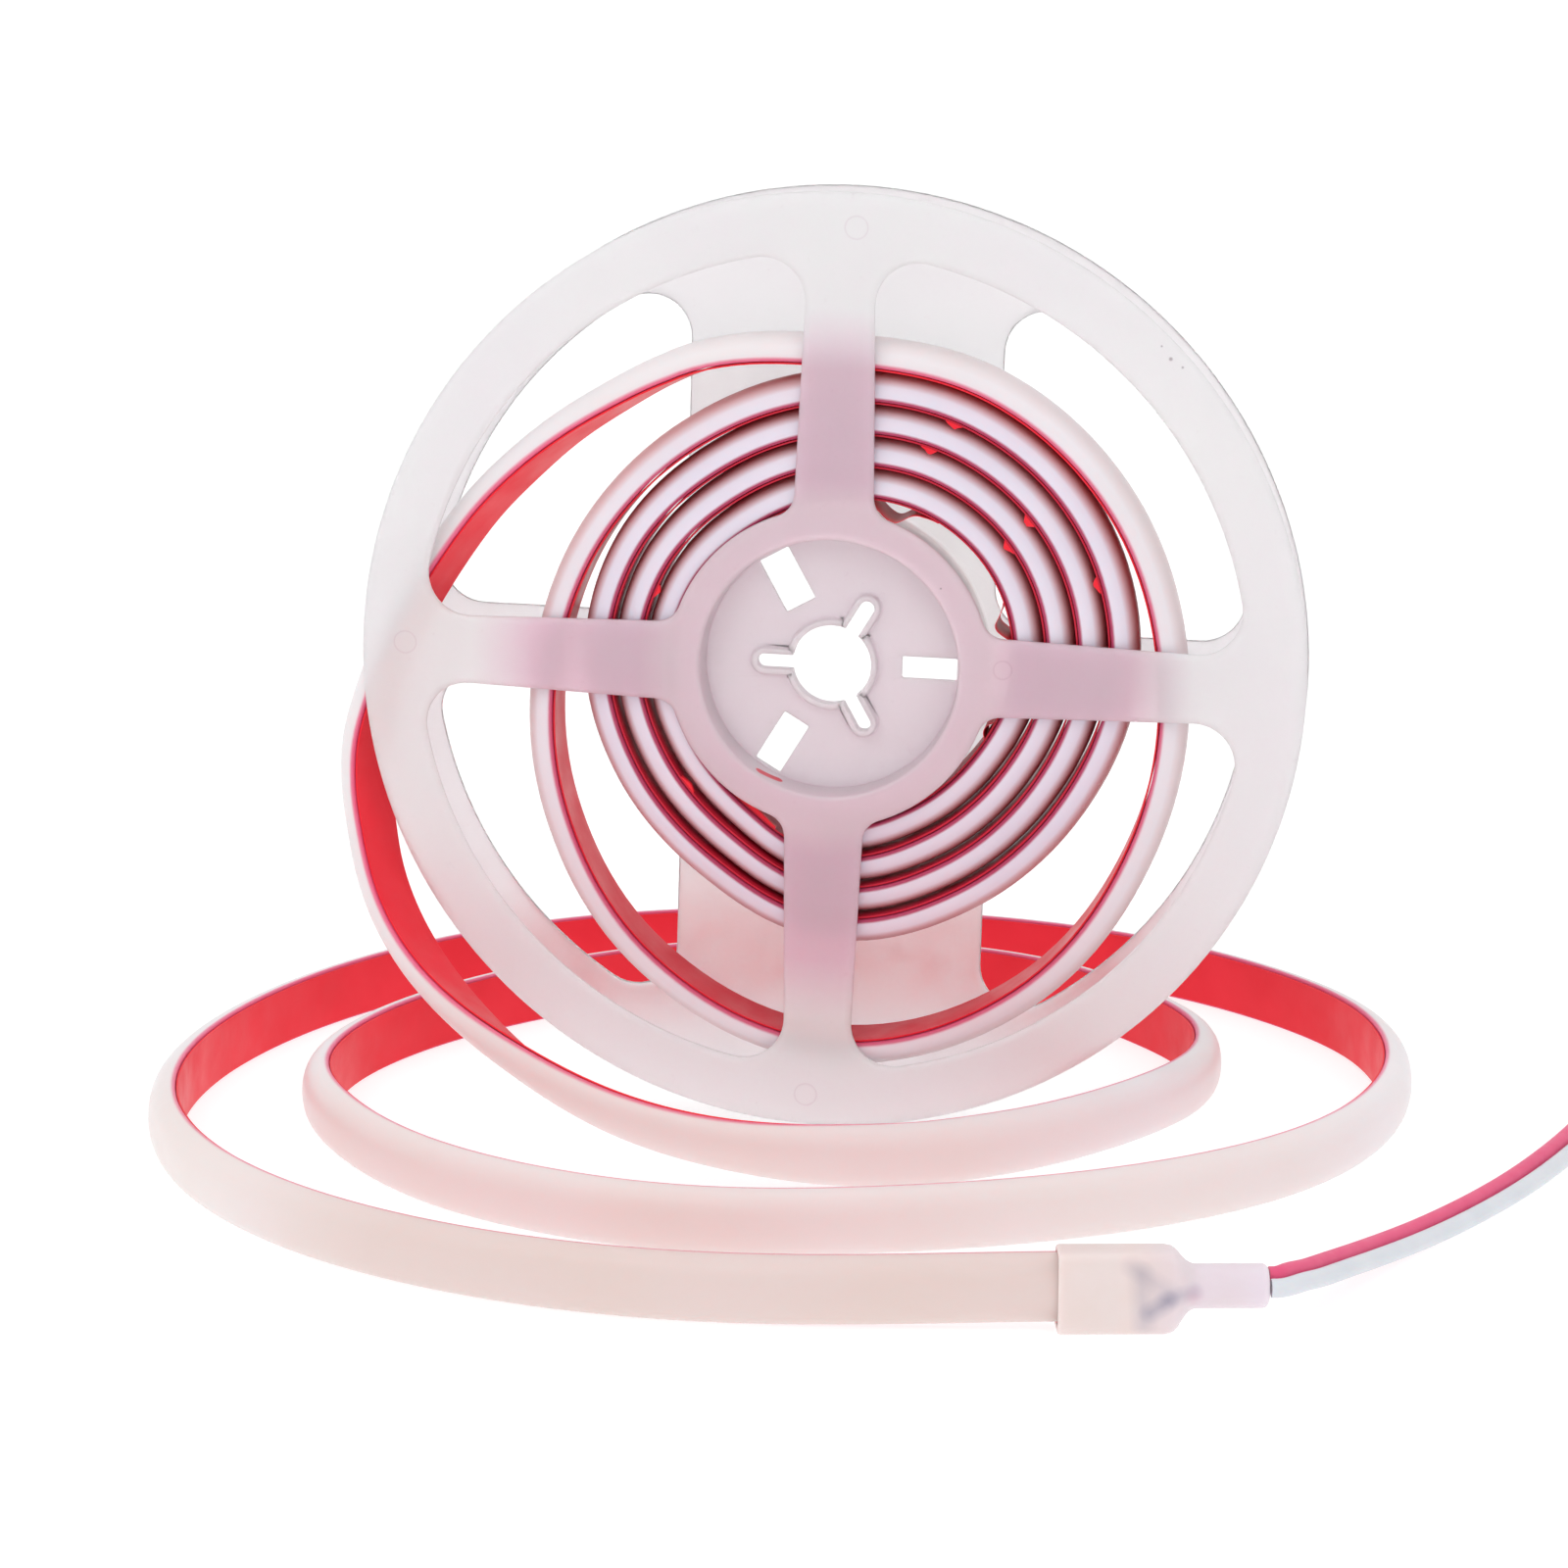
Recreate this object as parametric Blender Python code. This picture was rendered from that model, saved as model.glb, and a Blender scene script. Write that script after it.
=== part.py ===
"""Silicone neon flex on its plastic reel: a light strip with red adhesive tape, wound on a two-part reel
that stands on its rim, with the free end laid in two loops on the floor and closed by a cap with a twin lead.

Metres, +Z up. The reel's axis runs along Y, and the camera side is -Y.
"""

import math

import bmesh
import bpy
import numpy as np
from mathutils import Vector

MM = 0.001

# Light strip and its tape
STRIP_WIDTH = 12.0 * MM
STRIP_THICKNESS = 5.2 * MM
DOME_FULLNESS = 2.3
DOME_STEPS = 6
TAPE_WIDTH = 11.0 * MM
TAPE_THICKNESS = 0.35 * MM
TAPE_GAP = 0.15 * MM
SEAT_GAP = 0.3 * MM

# Reel
REEL_RADIUS = 89.0 * MM
RING_WIDTH = 11.0 * MM
PLATE_THICKNESS = 1.3 * MM
STRIP_SIDE_ROOM = 0.7 * MM
RIM_ROUND_WIDTH = 2.6 * MM
RIM_ROUND_DEPTH = 0.9 * MM
RIM_ROUND_SHARE = 0.35
DRUM_RADIUS = 29.0 * MM
DRUM_WALL = 3.0 * MM
HUB_DISC_LEDGE = 1.4 * MM
CUP_WALL = 1.3 * MM
CUP_GAP = 0.3 * MM
CUP_SLOPE = 0.4 * MM
WEB_DEPTH = 6.5 * MM
BORE_RADIUS = 7.5 * MM
COLLAR_WIDTH = 1.2 * MM
COLLAR_HEIGHT = 1.6 * MM
KEYWAY_REACH = 14.1 * MM
KEYWAY_WIDTH = 2.8 * MM
# Hub windows, every third of a turn from +X: inner end, how far short of the cup they stop, width
HUB_WINDOWS = (
    (13.2, 0.5, 4.2),
    (12.5, 0.8, 6.2),
    (12.8, 0.8, 5.4),
)
REEL_TURN = math.radians(-1.5)
SPOKE_ROOT_WIDTH = 15.0 * MM
SPOKE_TIP_WIDTH = 12.4 * MM
WINDOW_OUTER_FILLET = 8.0 * MM
WINDOW_INNER_FILLET = 4.5 * MM
BACK_PANEL_LEDGE = 0.5 * MM
BACK_SPOKE_WIDTH = 13.0 * MM
REEL_STEPS = 72
FILLET_STEPS = 4
RING_ARC_STEPS = 14
HUB_ARC_STEPS = 6
BORE_STEPS = 8

# Coil on the drum: how far each twelfth of a turn stands off an even spiral, from the bottom round by +X
COIL_SAG = (0.7, 0.5, 1.1, 3.2, 3.7, 2.2, -0.7, -3.3, -3.8, -4.2, -4.8, -3.7)
COIL_BASE = 0.3 * MM
TURN_GAP = 0.3 * MM
STEP_ANGLE = 10.0
STEPS_BETWEEN_GUIDES = 3
SAG_ANGLE = 30.0
# The last tight turn ends at this angle from the coil's start. From there each step lifts off by this much
LIFT_START = 1290.0
COIL_LIFT = (0.2, 0.8, 3.7, 10.2, 17.0, 18.3, 16.2, 9.6, 3.2, 0.6, 0.2, 0.7, 6.9)
# Twist at the end of the wound length, and the unrolled angle over which it grows
WOUND_TWIST = 6.0
WOUND_TWIST_SPAN = 60.0

# Way out over the rim: angle, distance outside the rim, distance before the reel's middle, roll, twist.
# Roll leans the strip over towards the floor, and twist turns its taped face to the camera side
RIM_ROUTE = (
    (130.0, -26.6, 0.0, 0.0, 10.0),
    (140.0, -24.1, 0.0, 0.0, 13.5),
    (150.0, -20.9, 0.0, 0.0, 18.0),
    (157.0, -18.1, 0.0, 0.0, 18.5),
    (165.0, -14.7, 0.0, 0.0, 18.5),
    (173.0, -10.4, 0.0, 0.0, 19.0),
    (180.0, -5.9, 0.0, 0.0, 20.0),
    (187.0, -1.2, 0.0, 0.0, 21.0),
    (191.0, 1.4, 0.9, 0.0, 22.0),
    (195.5, 3.3, 2.0, 0.0, 22.0),
    (200.0, 4.3, 4.2, 0.0, 22.0),
    (205.0, 5.5, 7.0, 0.0, 18.0),
    (213.0, 5.4, 14.0, 4.0, 13.0),
    (222.0, 2.6, 23.0, 16.0, 10.0),
)
# Down to the floor: place along X and Y, height of the strip's middle over its half width, roll, twist
LANDING_ROUTE = (
    (-53.5, -26.0, 14.5, 33.0, 8.0),
    (-32.0, -36.5, 7.0, 49.0, 6.0),
    (-7.0, -39.8, 2.5, 64.0, 4.0),
    (6.0, -38.3, 1.1, 79.0, 2.0),
)
# The two floor loops: places of the taped face along X and Y
FLOOR_ROUTE = (
    (22.0, -32.5),
    (42.0, -18.5),
    (58.0, 1.0),
    (68.0, 23.0),
    (67.0, 44.0),
    (56.0, 64.0),
    (38.0, 82.5),
    (14.0, 93.0),
    (-12.0, 94.5),
    (-38.0, 87.5),
    (-62.0, 71.0),
    (-82.0, 47.0),
    (-94.0, 19.0),
    (-95.0, -8.0),
    (-84.0, -33.0),
    (-65.0, -55.0),
    (-41.0, -69.5),
    (-12.0, -76.0),
    (17.0, -72.0),
    (46.0, -61.5),
    (71.0, -46.0),
    (91.0, -24.5),
    (103.0, 3.0),
    (105.5, 32.0),
    (98.0, 61.0),
    (81.0, 85.0),
    (57.0, 104.5),
    (28.0, 116.5),
    (-2.0, 120.5),
    (-32.0, 118.0),
    (-60.0, 108.5),
    (-86.0, 89.5),
    (-107.0, 61.0),
    (-119.5, 28.0),
    (-123.0, -6.0),
    (-116.0, -40.0),
    (-97.5, -70.5),
    (-70.0, -93.5),
    (-38.0, -107.0),
    (-5.0, -111.5),
    (27.0, -109.5),
    (52.0, -106.0),
    (61.5, -104.5),
)
# The strip's last places lift to the cap's wall height by these shares
RISE_TO_CAP = (0.0, 0.1, 0.6, 1.0, 1.0)
FINE_SPACING = 1.0 * MM
TURNING_STEP = 8.0
LONGEST_STEP = 14.0 * MM
JOIN_SEARCH = 150.0 * MM

# End cap
CAP_WALL = 0.9 * MM
CAP_FIT = 0.3 * MM
CAP_FULLNESS = 5.0
SOCKET_FULLNESS = 8.0
CAP_SOCKET_DEPTH = 10.0 * MM
STRAIGHT_MARGIN = 1.5 * MM
CAP_BODY_LENGTH = 19.0 * MM
CAP_STRAIGHT_SHARE = 0.93
CAP_SHOULDER_LENGTH = 4.0 * MM
# The shoulder from the body to the nozzle: share of its length, share of the body's outline left
CAP_SHOULDER = ((0.0, 0.93), (0.25, 0.72), (0.5, 0.38), (0.75, 0.12), (1.0, 0.0))
CAP_EDGE_ROUND = 0.5 * MM
NOZZLE_RADIUS = 3.75 * MM
NOZZLE_LENGTH = 12.4 * MM
NOZZLE_END_ROUND = 1.2 * MM
NOZZLE_ROUND_SHARE = 0.3
NOZZLE_OFFSET = 1.0 * MM
NOZZLE_STEPS = 24

# Twin lead: places of its middle after the nozzle's mouth, then the lower core's height off the floor
CORE_DIAMETER = 3.2 * MM
CORE_GAP = 0.3 * MM
LEAD_TILT_START = 17.0
LEAD_TILT_END = 0.0
LEAD_ROUTE = (
    (90.6, -99.0, 5.6),
    (93.1, -94.9, 5.1),
    (96.3, -88.6, 4.2),
    (99.9, -80.8, 3.1),
    (104.7, -70.8, 1.8),
    (110.9, -59.6, 0.9),
    (121.2, -41.0, 0.3),
    (130.4, -22.2, 0.1),
    (138.0, -3.7, 0.1),
    (144.2, 14.5, 0.1),
    (149.0, 33.0, 0.1),
    (152.4, 52.0, 0.1),
    (154.0, 71.0, 0.1),
)
LEAD_STEPS = 36
LEAD_FINE_STEPS = 6
LEAD_EXIT_GAP = 0.3 * MM
LEAD_EXIT_RISE = 0.6 * MM
LEAD_STRAIGHT = 0.8 * MM

FLANGE_GAP = STRIP_WIDTH + 2 * STRIP_SIDE_ROOM
REEL_WIDTH = FLANGE_GAP + 2 * PLATE_THICKNESS
STRIP_MIDDLE = REEL_WIDTH / 2
CUP_RADIUS = DRUM_RADIUS - DRUM_WALL - CUP_GAP - CUP_WALL
TURN_PITCH = STRIP_THICKNESS + TAPE_GAP + TAPE_THICKNESS + TURN_GAP
TAPE_DEPTH = TAPE_GAP + TAPE_THICKNESS
AXIS_HEIGHT = REEL_RADIUS
HUB_DISC_RADIUS = DRUM_RADIUS + HUB_DISC_LEDGE
BACK_PANEL_WIDTH = 2 * (DRUM_RADIUS + BACK_PANEL_LEDGE)

MATERIALS = {
    "reel": ((0.80, 0.75, 0.78), 0.38),
    "silicone": ((0.88, 0.80, 0.78), 0.42),
    "tape": ((0.84, 0.02, 0.04), 0.35),
    "cap": ((0.82, 0.78, 0.81), 0.35),
    "core_red": ((0.80, 0.09, 0.22), 0.45),
    "core_white": ((0.72, 0.75, 0.78), 0.45),
}


def clear_scene():
    for obj in list(bpy.data.objects):
        bpy.data.objects.remove(obj, do_unlink=True)


def material(name):
    colour, roughness = MATERIALS[name]
    made = bpy.data.materials.get(name) or bpy.data.materials.new(name)
    made.use_nodes = True
    shader = made.node_tree.nodes["Principled BSDF"]
    shader.inputs["Base Color"].default_value = (*colour, 1.0)
    shader.inputs["Roughness"].default_value = roughness
    shader.inputs["Metallic"].default_value = 0.0
    return made


def add_object(name, bm, material_name=None, smooth_angle=35.0):
    bmesh.ops.recalc_face_normals(bm, faces=bm.faces)
    mesh = bpy.data.meshes.new(name)
    bm.to_mesh(mesh)
    bm.free()
    obj = bpy.data.objects.new(name, mesh)
    bpy.context.scene.collection.objects.link(obj)
    if material_name:
        mesh.materials.append(material(material_name))
        mesh.shade_smooth()
        mesh.set_sharp_from_angle(angle=math.radians(smooth_angle))
    return obj


def cubic_through(points, spacing=None, count=None):
    """Places evenly along a natural cubic curve through the points."""
    points = np.asarray(points, float)
    steps = np.linalg.norm(np.diff(points[:, :3], axis=0), axis=1)
    knots = np.concatenate([[0.0], np.cumsum(steps)])
    size = len(points)
    rows = np.zeros((size, size))
    slopes = np.zeros_like(points)
    rows[0, 0] = rows[-1, -1] = 1.0
    for i in range(1, size - 1):
        before = steps[i - 1]
        after = steps[i]
        rows[i, i - 1 : i + 2] = before, 2 * (before + after), after
        slopes[i] = 6 * ((points[i + 1] - points[i]) / after - (points[i] - points[i - 1]) / before)
    bends = np.linalg.solve(rows, slopes)
    count = count or max(2, round(knots[-1] / spacing) + 1)
    found = []
    for at in np.linspace(0.0, knots[-1], count):
        i = min(int(np.searchsorted(knots, at, side="right")) - 1, size - 2)
        length = steps[i]
        past = (at - knots[i]) / length
        left = 1.0 - past
        bow = (left**3 - left) * bends[i] + (past**3 - past) * bends[i + 1]
        found.append(left * points[i] + past * points[i + 1] + bow * length**2 / 6)
    return np.array(found)


def between(values, at):
    """Smooth value of a list at a fractional place, held at both ends."""
    i = int(math.floor(at))
    part = at - i
    p0, p1, p2, p3 = (values[min(max(i + k, 0), len(values) - 1)] for k in (-1, 0, 1, 2))
    slope_in = (p2 - p0) / 2
    slope_out = (p3 - p1) / 2
    return (
        (2 * part**3 - 3 * part**2 + 1) * p1
        + (part**3 - 2 * part**2 + part) * slope_in
        + (3 * part**2 - 2 * part**3) * p2
        + (part**3 - part**2) * slope_out
    )


def coil_radius(unrolled):
    """Distance of the taped face from the reel's axis, at degrees wound from the coil's start."""
    count = len(COIL_SAG)
    wrapped = COIL_SAG[-1:] + COIL_SAG + COIL_SAG[:3]
    sag = between(wrapped, unrolled / SAG_ANGLE % count + 1) * MM
    lowest = min(COIL_SAG[k] * MM + TURN_PITCH * k / count for k in range(count))
    seat = DRUM_RADIUS + SEAT_GAP + TAPE_DEPTH + COIL_BASE - lowest
    risen = max(0.0, (unrolled - LIFT_START) / SAG_ANGLE + 2)
    lift = between((0.0, 0.0) + COIL_LIFT, risen) * MM
    return seat + TURN_PITCH * unrolled / 360.0 + sag + lift


def on_reel(degrees, radius, forward):
    angle = math.radians(degrees)
    return (radius * math.cos(angle), STRIP_MIDDLE - forward, AXIS_HEIGHT + radius * math.sin(angle))


def strip_stations():
    """Rows of X, Y, Z, roll and twist along the middle of the strip's taped face, from hub to cap."""
    wound_end = LIFT_START + SAG_ANGLE * (len(COIL_LIFT) - 1)
    wound = []
    for k in range(int(wound_end / STEP_ANGLE) + 1):
        unrolled = k * STEP_ANGLE
        twisted = max(0.0, 1.0 - (wound_end - unrolled) / WOUND_TWIST_SPAN)
        place = on_reel(unrolled - 90.0, coil_radius(unrolled), 0.0)
        wound.append((*place, 0.0, WOUND_TWIST * twisted**2))
    falling = wound[-1 - 2 * STEPS_BETWEEN_GUIDES :: STEPS_BETWEEN_GUIDES]
    for degrees, outside, forward, *turns in RIM_ROUTE:
        falling.append((*on_reel(degrees, REEL_RADIUS + outside * MM, forward * MM), *turns))
    for x, y, height, *turns in LANDING_ROUTE:
        falling.append((x * MM, y * MM, STRIP_WIDTH / 2 + height * MM, *turns))
    floor = []
    shares = (0.0,) * (len(FLOOR_ROUTE) - len(RISE_TO_CAP)) + RISE_TO_CAP
    for (x, y), share in zip(FLOOR_ROUTE, shares):
        rise = (CAP_WALL + CAP_FIT) * share
        floor.append((x * MM, y * MM, STRIP_WIDTH / 2 + rise, 90.0, 0.0))
    dense = cubic_through(falling + floor, spacing=FINE_SPACING)
    near = dense[: round(JOIN_SEARCH / FINE_SPACING)]
    joined = int(np.argmin(np.linalg.norm(near[:, :3] - np.array(wound[-1][:3]), axis=1)))
    onward = dense[joined:]
    stations = settled(np.vstack([np.array(wound), onward[spread_by_turning(onward)]]))
    return with_straight_end(stations, onward[-1] - onward[-2])


def with_straight_end(stations, step):
    """Makes the length inside the end cap straight and level, along the route's last step."""
    end = stations[-1].copy()
    run = step[:3] * (1.0, 1.0, 0.0)
    run /= np.linalg.norm(run)
    clear = CAP_SOCKET_DEPTH + 2 * STRAIGHT_MARGIN
    outside = stations[np.linalg.norm(stations[:, :3] - end[:3], axis=1) > clear]
    mouth = end.copy()
    mouth[:3] -= run * (CAP_SOCKET_DEPTH + STRAIGHT_MARGIN)
    return np.vstack([outside, mouth, end])


def spread_by_turning(dense):
    """Which of the close stations to keep: one for each step of turning, or for each longest step."""
    runs = np.diff(dense[:, :3], axis=0)
    lengths = np.linalg.norm(runs, axis=1)
    runs /= lengths[:, None]
    kept = []
    turned = 0.0
    passed = 0.0
    for k in range(1, len(runs)):
        turned += math.degrees(math.acos(min(1.0, float(runs[k] @ runs[k - 1]))))
        turned += np.abs(dense[k, 3:] - dense[k - 1, 3:]).sum()
        passed += lengths[k - 1]
        if turned >= TURNING_STEP or passed >= LONGEST_STEP:
            kept.append(k)
            turned = 0.0
            passed = 0.0
    kept.append(len(dense) - 1)
    return kept


def settled(stations):
    """Lifts each station whose section would reach below the floor, so that it rests on it."""
    places, _, across, outward = frames_along(stations)
    lowest = np.full(len(places), np.inf)
    for a, b in dome_section(STRIP_WIDTH, STRIP_THICKNESS, DOME_STEPS) + tape_section():
        lowest = np.minimum(lowest, (places + across * a + outward * b)[:, 2])
    stations[:, 2] += np.maximum(0.0, -lowest)
    return stations


def frames_along(stations):
    """For each station: its place, its direction, across the strip and out of the taped face."""
    places = stations[:, :3]
    runs = np.gradient(places, axis=0)
    runs /= np.linalg.norm(runs, axis=1)[:, None]
    roll = np.radians(stations[:, 3])
    across = np.stack([np.zeros_like(roll), np.cos(roll), -np.sin(roll)], axis=1)
    across -= (across * runs).sum(axis=1)[:, None] * runs
    across /= np.linalg.norm(across, axis=1)[:, None]
    outward = np.cross(across, runs)
    twist = np.radians(stations[:, 4])[:, None]
    turned_across = across * np.cos(twist) - outward * np.sin(twist)
    turned_outward = outward * np.cos(twist) + across * np.sin(twist)
    return places, runs, turned_across, turned_outward


def dome_section(width, thickness, steps):
    """Across and outward places round a D section, from one flat corner over the dome to the other."""
    found = []
    for k in range(steps + 1):
        angle = math.pi * k / steps
        side = math.cos(angle)
        rise = math.sin(angle)
        found.append(
            (
                math.copysign(abs(side) ** (2 / DOME_FULLNESS), side) * width / 2,
                abs(rise) ** (2 / DOME_FULLNESS) * thickness,
            )
        )
    return found


def sweep(name, stations, section, material_name):
    places, _, across, outward = frames_along(stations)
    bm = bmesh.new()
    rings = []
    for place, side, out in zip(places, across, outward):
        rings.append([bm.verts.new(place + side * a + out * b) for a, b in section])
    for ring, following in zip(rings, rings[1:]):
        for k in range(len(section)):
            after = (k + 1) % len(section)
            corners = (ring[k], ring[after], following[after], following[k])
            # All creases run the same way, so that the tape keeps its gap where the strip twists
            if section[k][0] > section[after][0]:
                bm.faces.new((corners[0], corners[1], corners[2]))
                bm.faces.new((corners[0], corners[2], corners[3]))
            else:
                bm.faces.new((corners[0], corners[1], corners[3]))
                bm.faces.new((corners[1], corners[2], corners[3]))
    bm.faces.new(rings[0])
    bm.faces.new(rings[-1])
    return add_object(name, bm, material_name)


def make_strip(stations):
    section = dome_section(STRIP_WIDTH, STRIP_THICKNESS, DOME_STEPS)
    return sweep("neon_strip", stations, section, "silicone")


def tape_section():
    near = -TAPE_GAP
    far = -TAPE_DEPTH
    half = TAPE_WIDTH / 2
    return [(half, near), (-half, near), (-half, far), (half, far)]


def make_tape(stations):
    return sweep("tape_liner", stations, tape_section(), "tape")


def spun(name, profile, flip, material_name):
    """A ring turned about the reel's axis from pairs of radius and depth below its outer face."""
    bm = bmesh.new()
    rings = []
    for k in range(REEL_STEPS):
        angle = 2 * math.pi * k / REEL_STEPS
        ring = []
        for radius, depth in profile:
            y = REEL_WIDTH - depth if flip else depth
            ring.append(bm.verts.new((radius * math.cos(angle), y, AXIS_HEIGHT + radius * math.sin(angle))))
        rings.append(ring)
    for k in range(REEL_STEPS):
        ring = rings[k]
        following = rings[(k + 1) % REEL_STEPS]
        for j in range(len(profile)):
            after = (j + 1) % len(profile)
            bm.faces.new((ring[j], ring[after], following[after], following[j]))
    return add_object(name, bm, material_name)


def rim_profile():
    """The flange's outer face from near the hub to the rim, with its rounded edge."""
    share = RIM_ROUND_SHARE
    return [
        (REEL_RADIUS - RIM_ROUND_WIDTH, 0.0),
        (REEL_RADIUS - RIM_ROUND_WIDTH * share, RIM_ROUND_DEPTH * share),
        (REEL_RADIUS, RIM_ROUND_DEPTH),
        (REEL_RADIUS, PLATE_THICKNESS),
    ]


def front_profile():
    """Front half: a flange with a cup sunk in its middle, whose floor is the web round the bore."""
    cup_floor = CUP_RADIUS - CUP_SLOPE
    hub = [
        (BORE_RADIUS, WEB_DEPTH),
        (cup_floor, WEB_DEPTH),
        (CUP_RADIUS, 0.0),
    ]
    inside = [
        (CUP_RADIUS + CUP_WALL, PLATE_THICKNESS),
        (cup_floor + CUP_WALL, WEB_DEPTH + PLATE_THICKNESS),
        (BORE_RADIUS, WEB_DEPTH + PLATE_THICKNESS),
    ]
    return hub + rim_profile() + inside


def back_profile():
    """Rear half: a flange with the open drum on its inner face, ending just short of the front flange."""
    drum_top = REEL_WIDTH - PLATE_THICKNESS - SEAT_GAP
    drum_inside = DRUM_RADIUS - DRUM_WALL
    drum = [
        (DRUM_RADIUS, PLATE_THICKNESS),
        (DRUM_RADIUS, drum_top),
        (drum_inside, drum_top),
    ]
    return [(drum_inside, 0.0)] + rim_profile() + drum


def unit(angle):
    return Vector((math.cos(angle), math.sin(angle)))


def spoke_edges(centre_angle, root_width, tip_width):
    """The two sides of a spoke, each as a point, a direction outward and the way into its window."""
    along = unit(centre_angle)
    left = unit(centre_angle + math.pi / 2)
    root = HUB_DISC_RADIUS
    tip = REEL_RADIUS - RING_WIDTH
    edges = []
    for way in (-1, 1):
        start = along * root + left * way * root_width / 2
        end = along * tip + left * way * tip_width / 2
        run = (end - start).normalized()
        into = Vector((-run.y, run.x)) * way
        edges.append((start, run, into))
    return edges


def rounded_with_circle(edge, circle, fillet, outside):
    """Fillet between an edge and a circle about the axis. It gives the centre and both touching points."""
    start, run, into = edge
    reach = circle + fillet if outside else circle - fillet
    base = start + into * fillet
    middle = base.dot(run)
    along = -middle + math.sqrt(middle**2 - base.length_squared + reach**2)
    centre = base + run * along
    return centre, centre - into * fillet, centre * (circle / reach)


def rounded_between(first, second, fillet):
    """Fillet in the corner of two edges. It gives the centre and the point where it touches each."""
    a, run_a, into_a = first
    b, run_b, into_b = second
    base_a = a + into_a * fillet
    base_b = b + into_b * fillet
    turn = run_a.x * run_b.y - run_a.y * run_b.x
    gap = base_b - base_a
    along = (gap.x * run_b.y - gap.y * run_b.x) / turn
    centre = base_a + run_a * along
    return centre, centre - into_a * fillet, centre - into_b * fillet


def arc_points(centre, start, end, steps):
    """Points round the centre from start to end, the short way."""
    first = (start - centre).angle_signed(Vector((1, 0)))
    turn = (end - centre).angle_signed(start - centre)
    radius = (start - centre).length
    return [centre + unit(first + turn * k / steps) * radius for k in range(steps + 1)]


def window_between(low_edge, high_edge, root_corner):
    """Outline of a flange window, counterclockwise: root corner, low edge, ring, high edge."""
    ring = REEL_RADIUS - RING_WIDTH
    low_centre, low_edge_end, low_ring = rounded_with_circle(low_edge, ring, WINDOW_OUTER_FILLET, False)
    high_centre, high_edge_end, high_ring = rounded_with_circle(high_edge, ring, WINDOW_OUTER_FILLET, False)
    origin = Vector((0, 0))
    outline = list(root_corner)
    outline += arc_points(low_centre, low_edge_end, low_ring, FILLET_STEPS)
    outline += arc_points(origin, low_ring, high_ring, RING_ARC_STEPS)[1:-1]
    outline += arc_points(high_centre, high_ring, high_edge_end, FILLET_STEPS)
    return outline


def front_windows():
    outlines = []
    for k in range(4):
        low_angle = REEL_TURN + k * math.pi / 2
        low = spoke_edges(low_angle, SPOKE_ROOT_WIDTH, SPOKE_TIP_WIDTH)[1]
        high = spoke_edges(low_angle + math.pi / 2, SPOKE_ROOT_WIDTH, SPOKE_TIP_WIDTH)[0]
        low_c, low_e, low_hub = rounded_with_circle(low, HUB_DISC_RADIUS, WINDOW_INNER_FILLET, True)
        high_c, high_e, high_hub = rounded_with_circle(high, HUB_DISC_RADIUS, WINDOW_INNER_FILLET, True)
        root = arc_points(high_c, high_e, high_hub, FILLET_STEPS)
        root += arc_points(Vector((0, 0)), high_hub, low_hub, HUB_ARC_STEPS)[1:-1]
        root += arc_points(low_c, low_hub, low_e, FILLET_STEPS)
        outlines.append(window_between(low, high, root))
    return outlines


def back_windows():
    outlines = []
    for k in range(4):
        low_angle = REEL_TURN + k * math.pi / 2
        low_width = BACK_SPOKE_WIDTH if k % 2 == 0 else BACK_PANEL_WIDTH
        high_width = BACK_PANEL_WIDTH if k % 2 == 0 else BACK_SPOKE_WIDTH
        low = spoke_edges(low_angle, low_width, low_width)[1]
        high = spoke_edges(low_angle + math.pi / 2, high_width, high_width)[0]
        centre, low_point, high_point = rounded_between(low, high, WINDOW_OUTER_FILLET)
        root = arc_points(centre, high_point, low_point, FILLET_STEPS)
        outlines.append(window_between(low, high, root))
    return outlines


def bore_outline(grow):
    """Outline of the bore with its three rounded keyways, grown outward by a wall."""
    half = KEYWAY_WIDTH / 2 + grow
    radius = BORE_RADIUS + grow
    spread = math.asin(half / radius)
    outline = []
    for k in range(3):
        keyway = REEL_TURN + (2 * k + 1) * math.pi / 3
        centre = unit(keyway) * (KEYWAY_REACH - KEYWAY_WIDTH / 2)
        for step in range(-FILLET_STEPS, FILLET_STEPS + 1):
            outline.append(centre + unit(keyway + math.pi / 2 * step / FILLET_STEPS) * half)
        sector = 2 * math.pi / 3 - 2 * spread
        for step in range(BORE_STEPS + 1):
            outline.append(unit(keyway + spread + sector * step / BORE_STEPS) * radius)
    return outline


def hub_windows():
    """Three windows of the web, between the keyways."""
    outlines = []
    for k, (inner, short, width) in enumerate(HUB_WINDOWS):
        along = unit(REEL_TURN + k * 2 * math.pi / 3)
        left = Vector((-along.y, along.x)) * width / 2 * MM
        near = along * inner * MM
        far = along * (CUP_RADIUS - short * MM)
        outlines.append([near - left, far - left, far + left, near + left])
    return outlines


def cutter(name, outlines, low, high):
    """Hidden closed prisms along the reel's axis, which shape one reel half."""
    bm = bmesh.new()
    for outline in outlines:
        front = [bm.verts.new((p.x, low, AXIS_HEIGHT + p.y)) for p in outline]
        back = [bm.verts.new((p.x, high, AXIS_HEIGHT + p.y)) for p in outline]
        bm.faces.new(front)
        bm.faces.new(back)
        for k in range(len(outline)):
            after = (k + 1) % len(outline)
            bm.faces.new((front[k], front[after], back[after], back[k]))
    obj = add_object(name, bm)
    obj.hide_render = True
    obj.display_type = "WIRE"
    return obj


def combine(obj, tool, operation):
    modifier = obj.modifiers.new(tool.name, "BOOLEAN")
    modifier.operation = operation
    modifier.solver = "EXACT"
    modifier.object = tool


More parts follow.
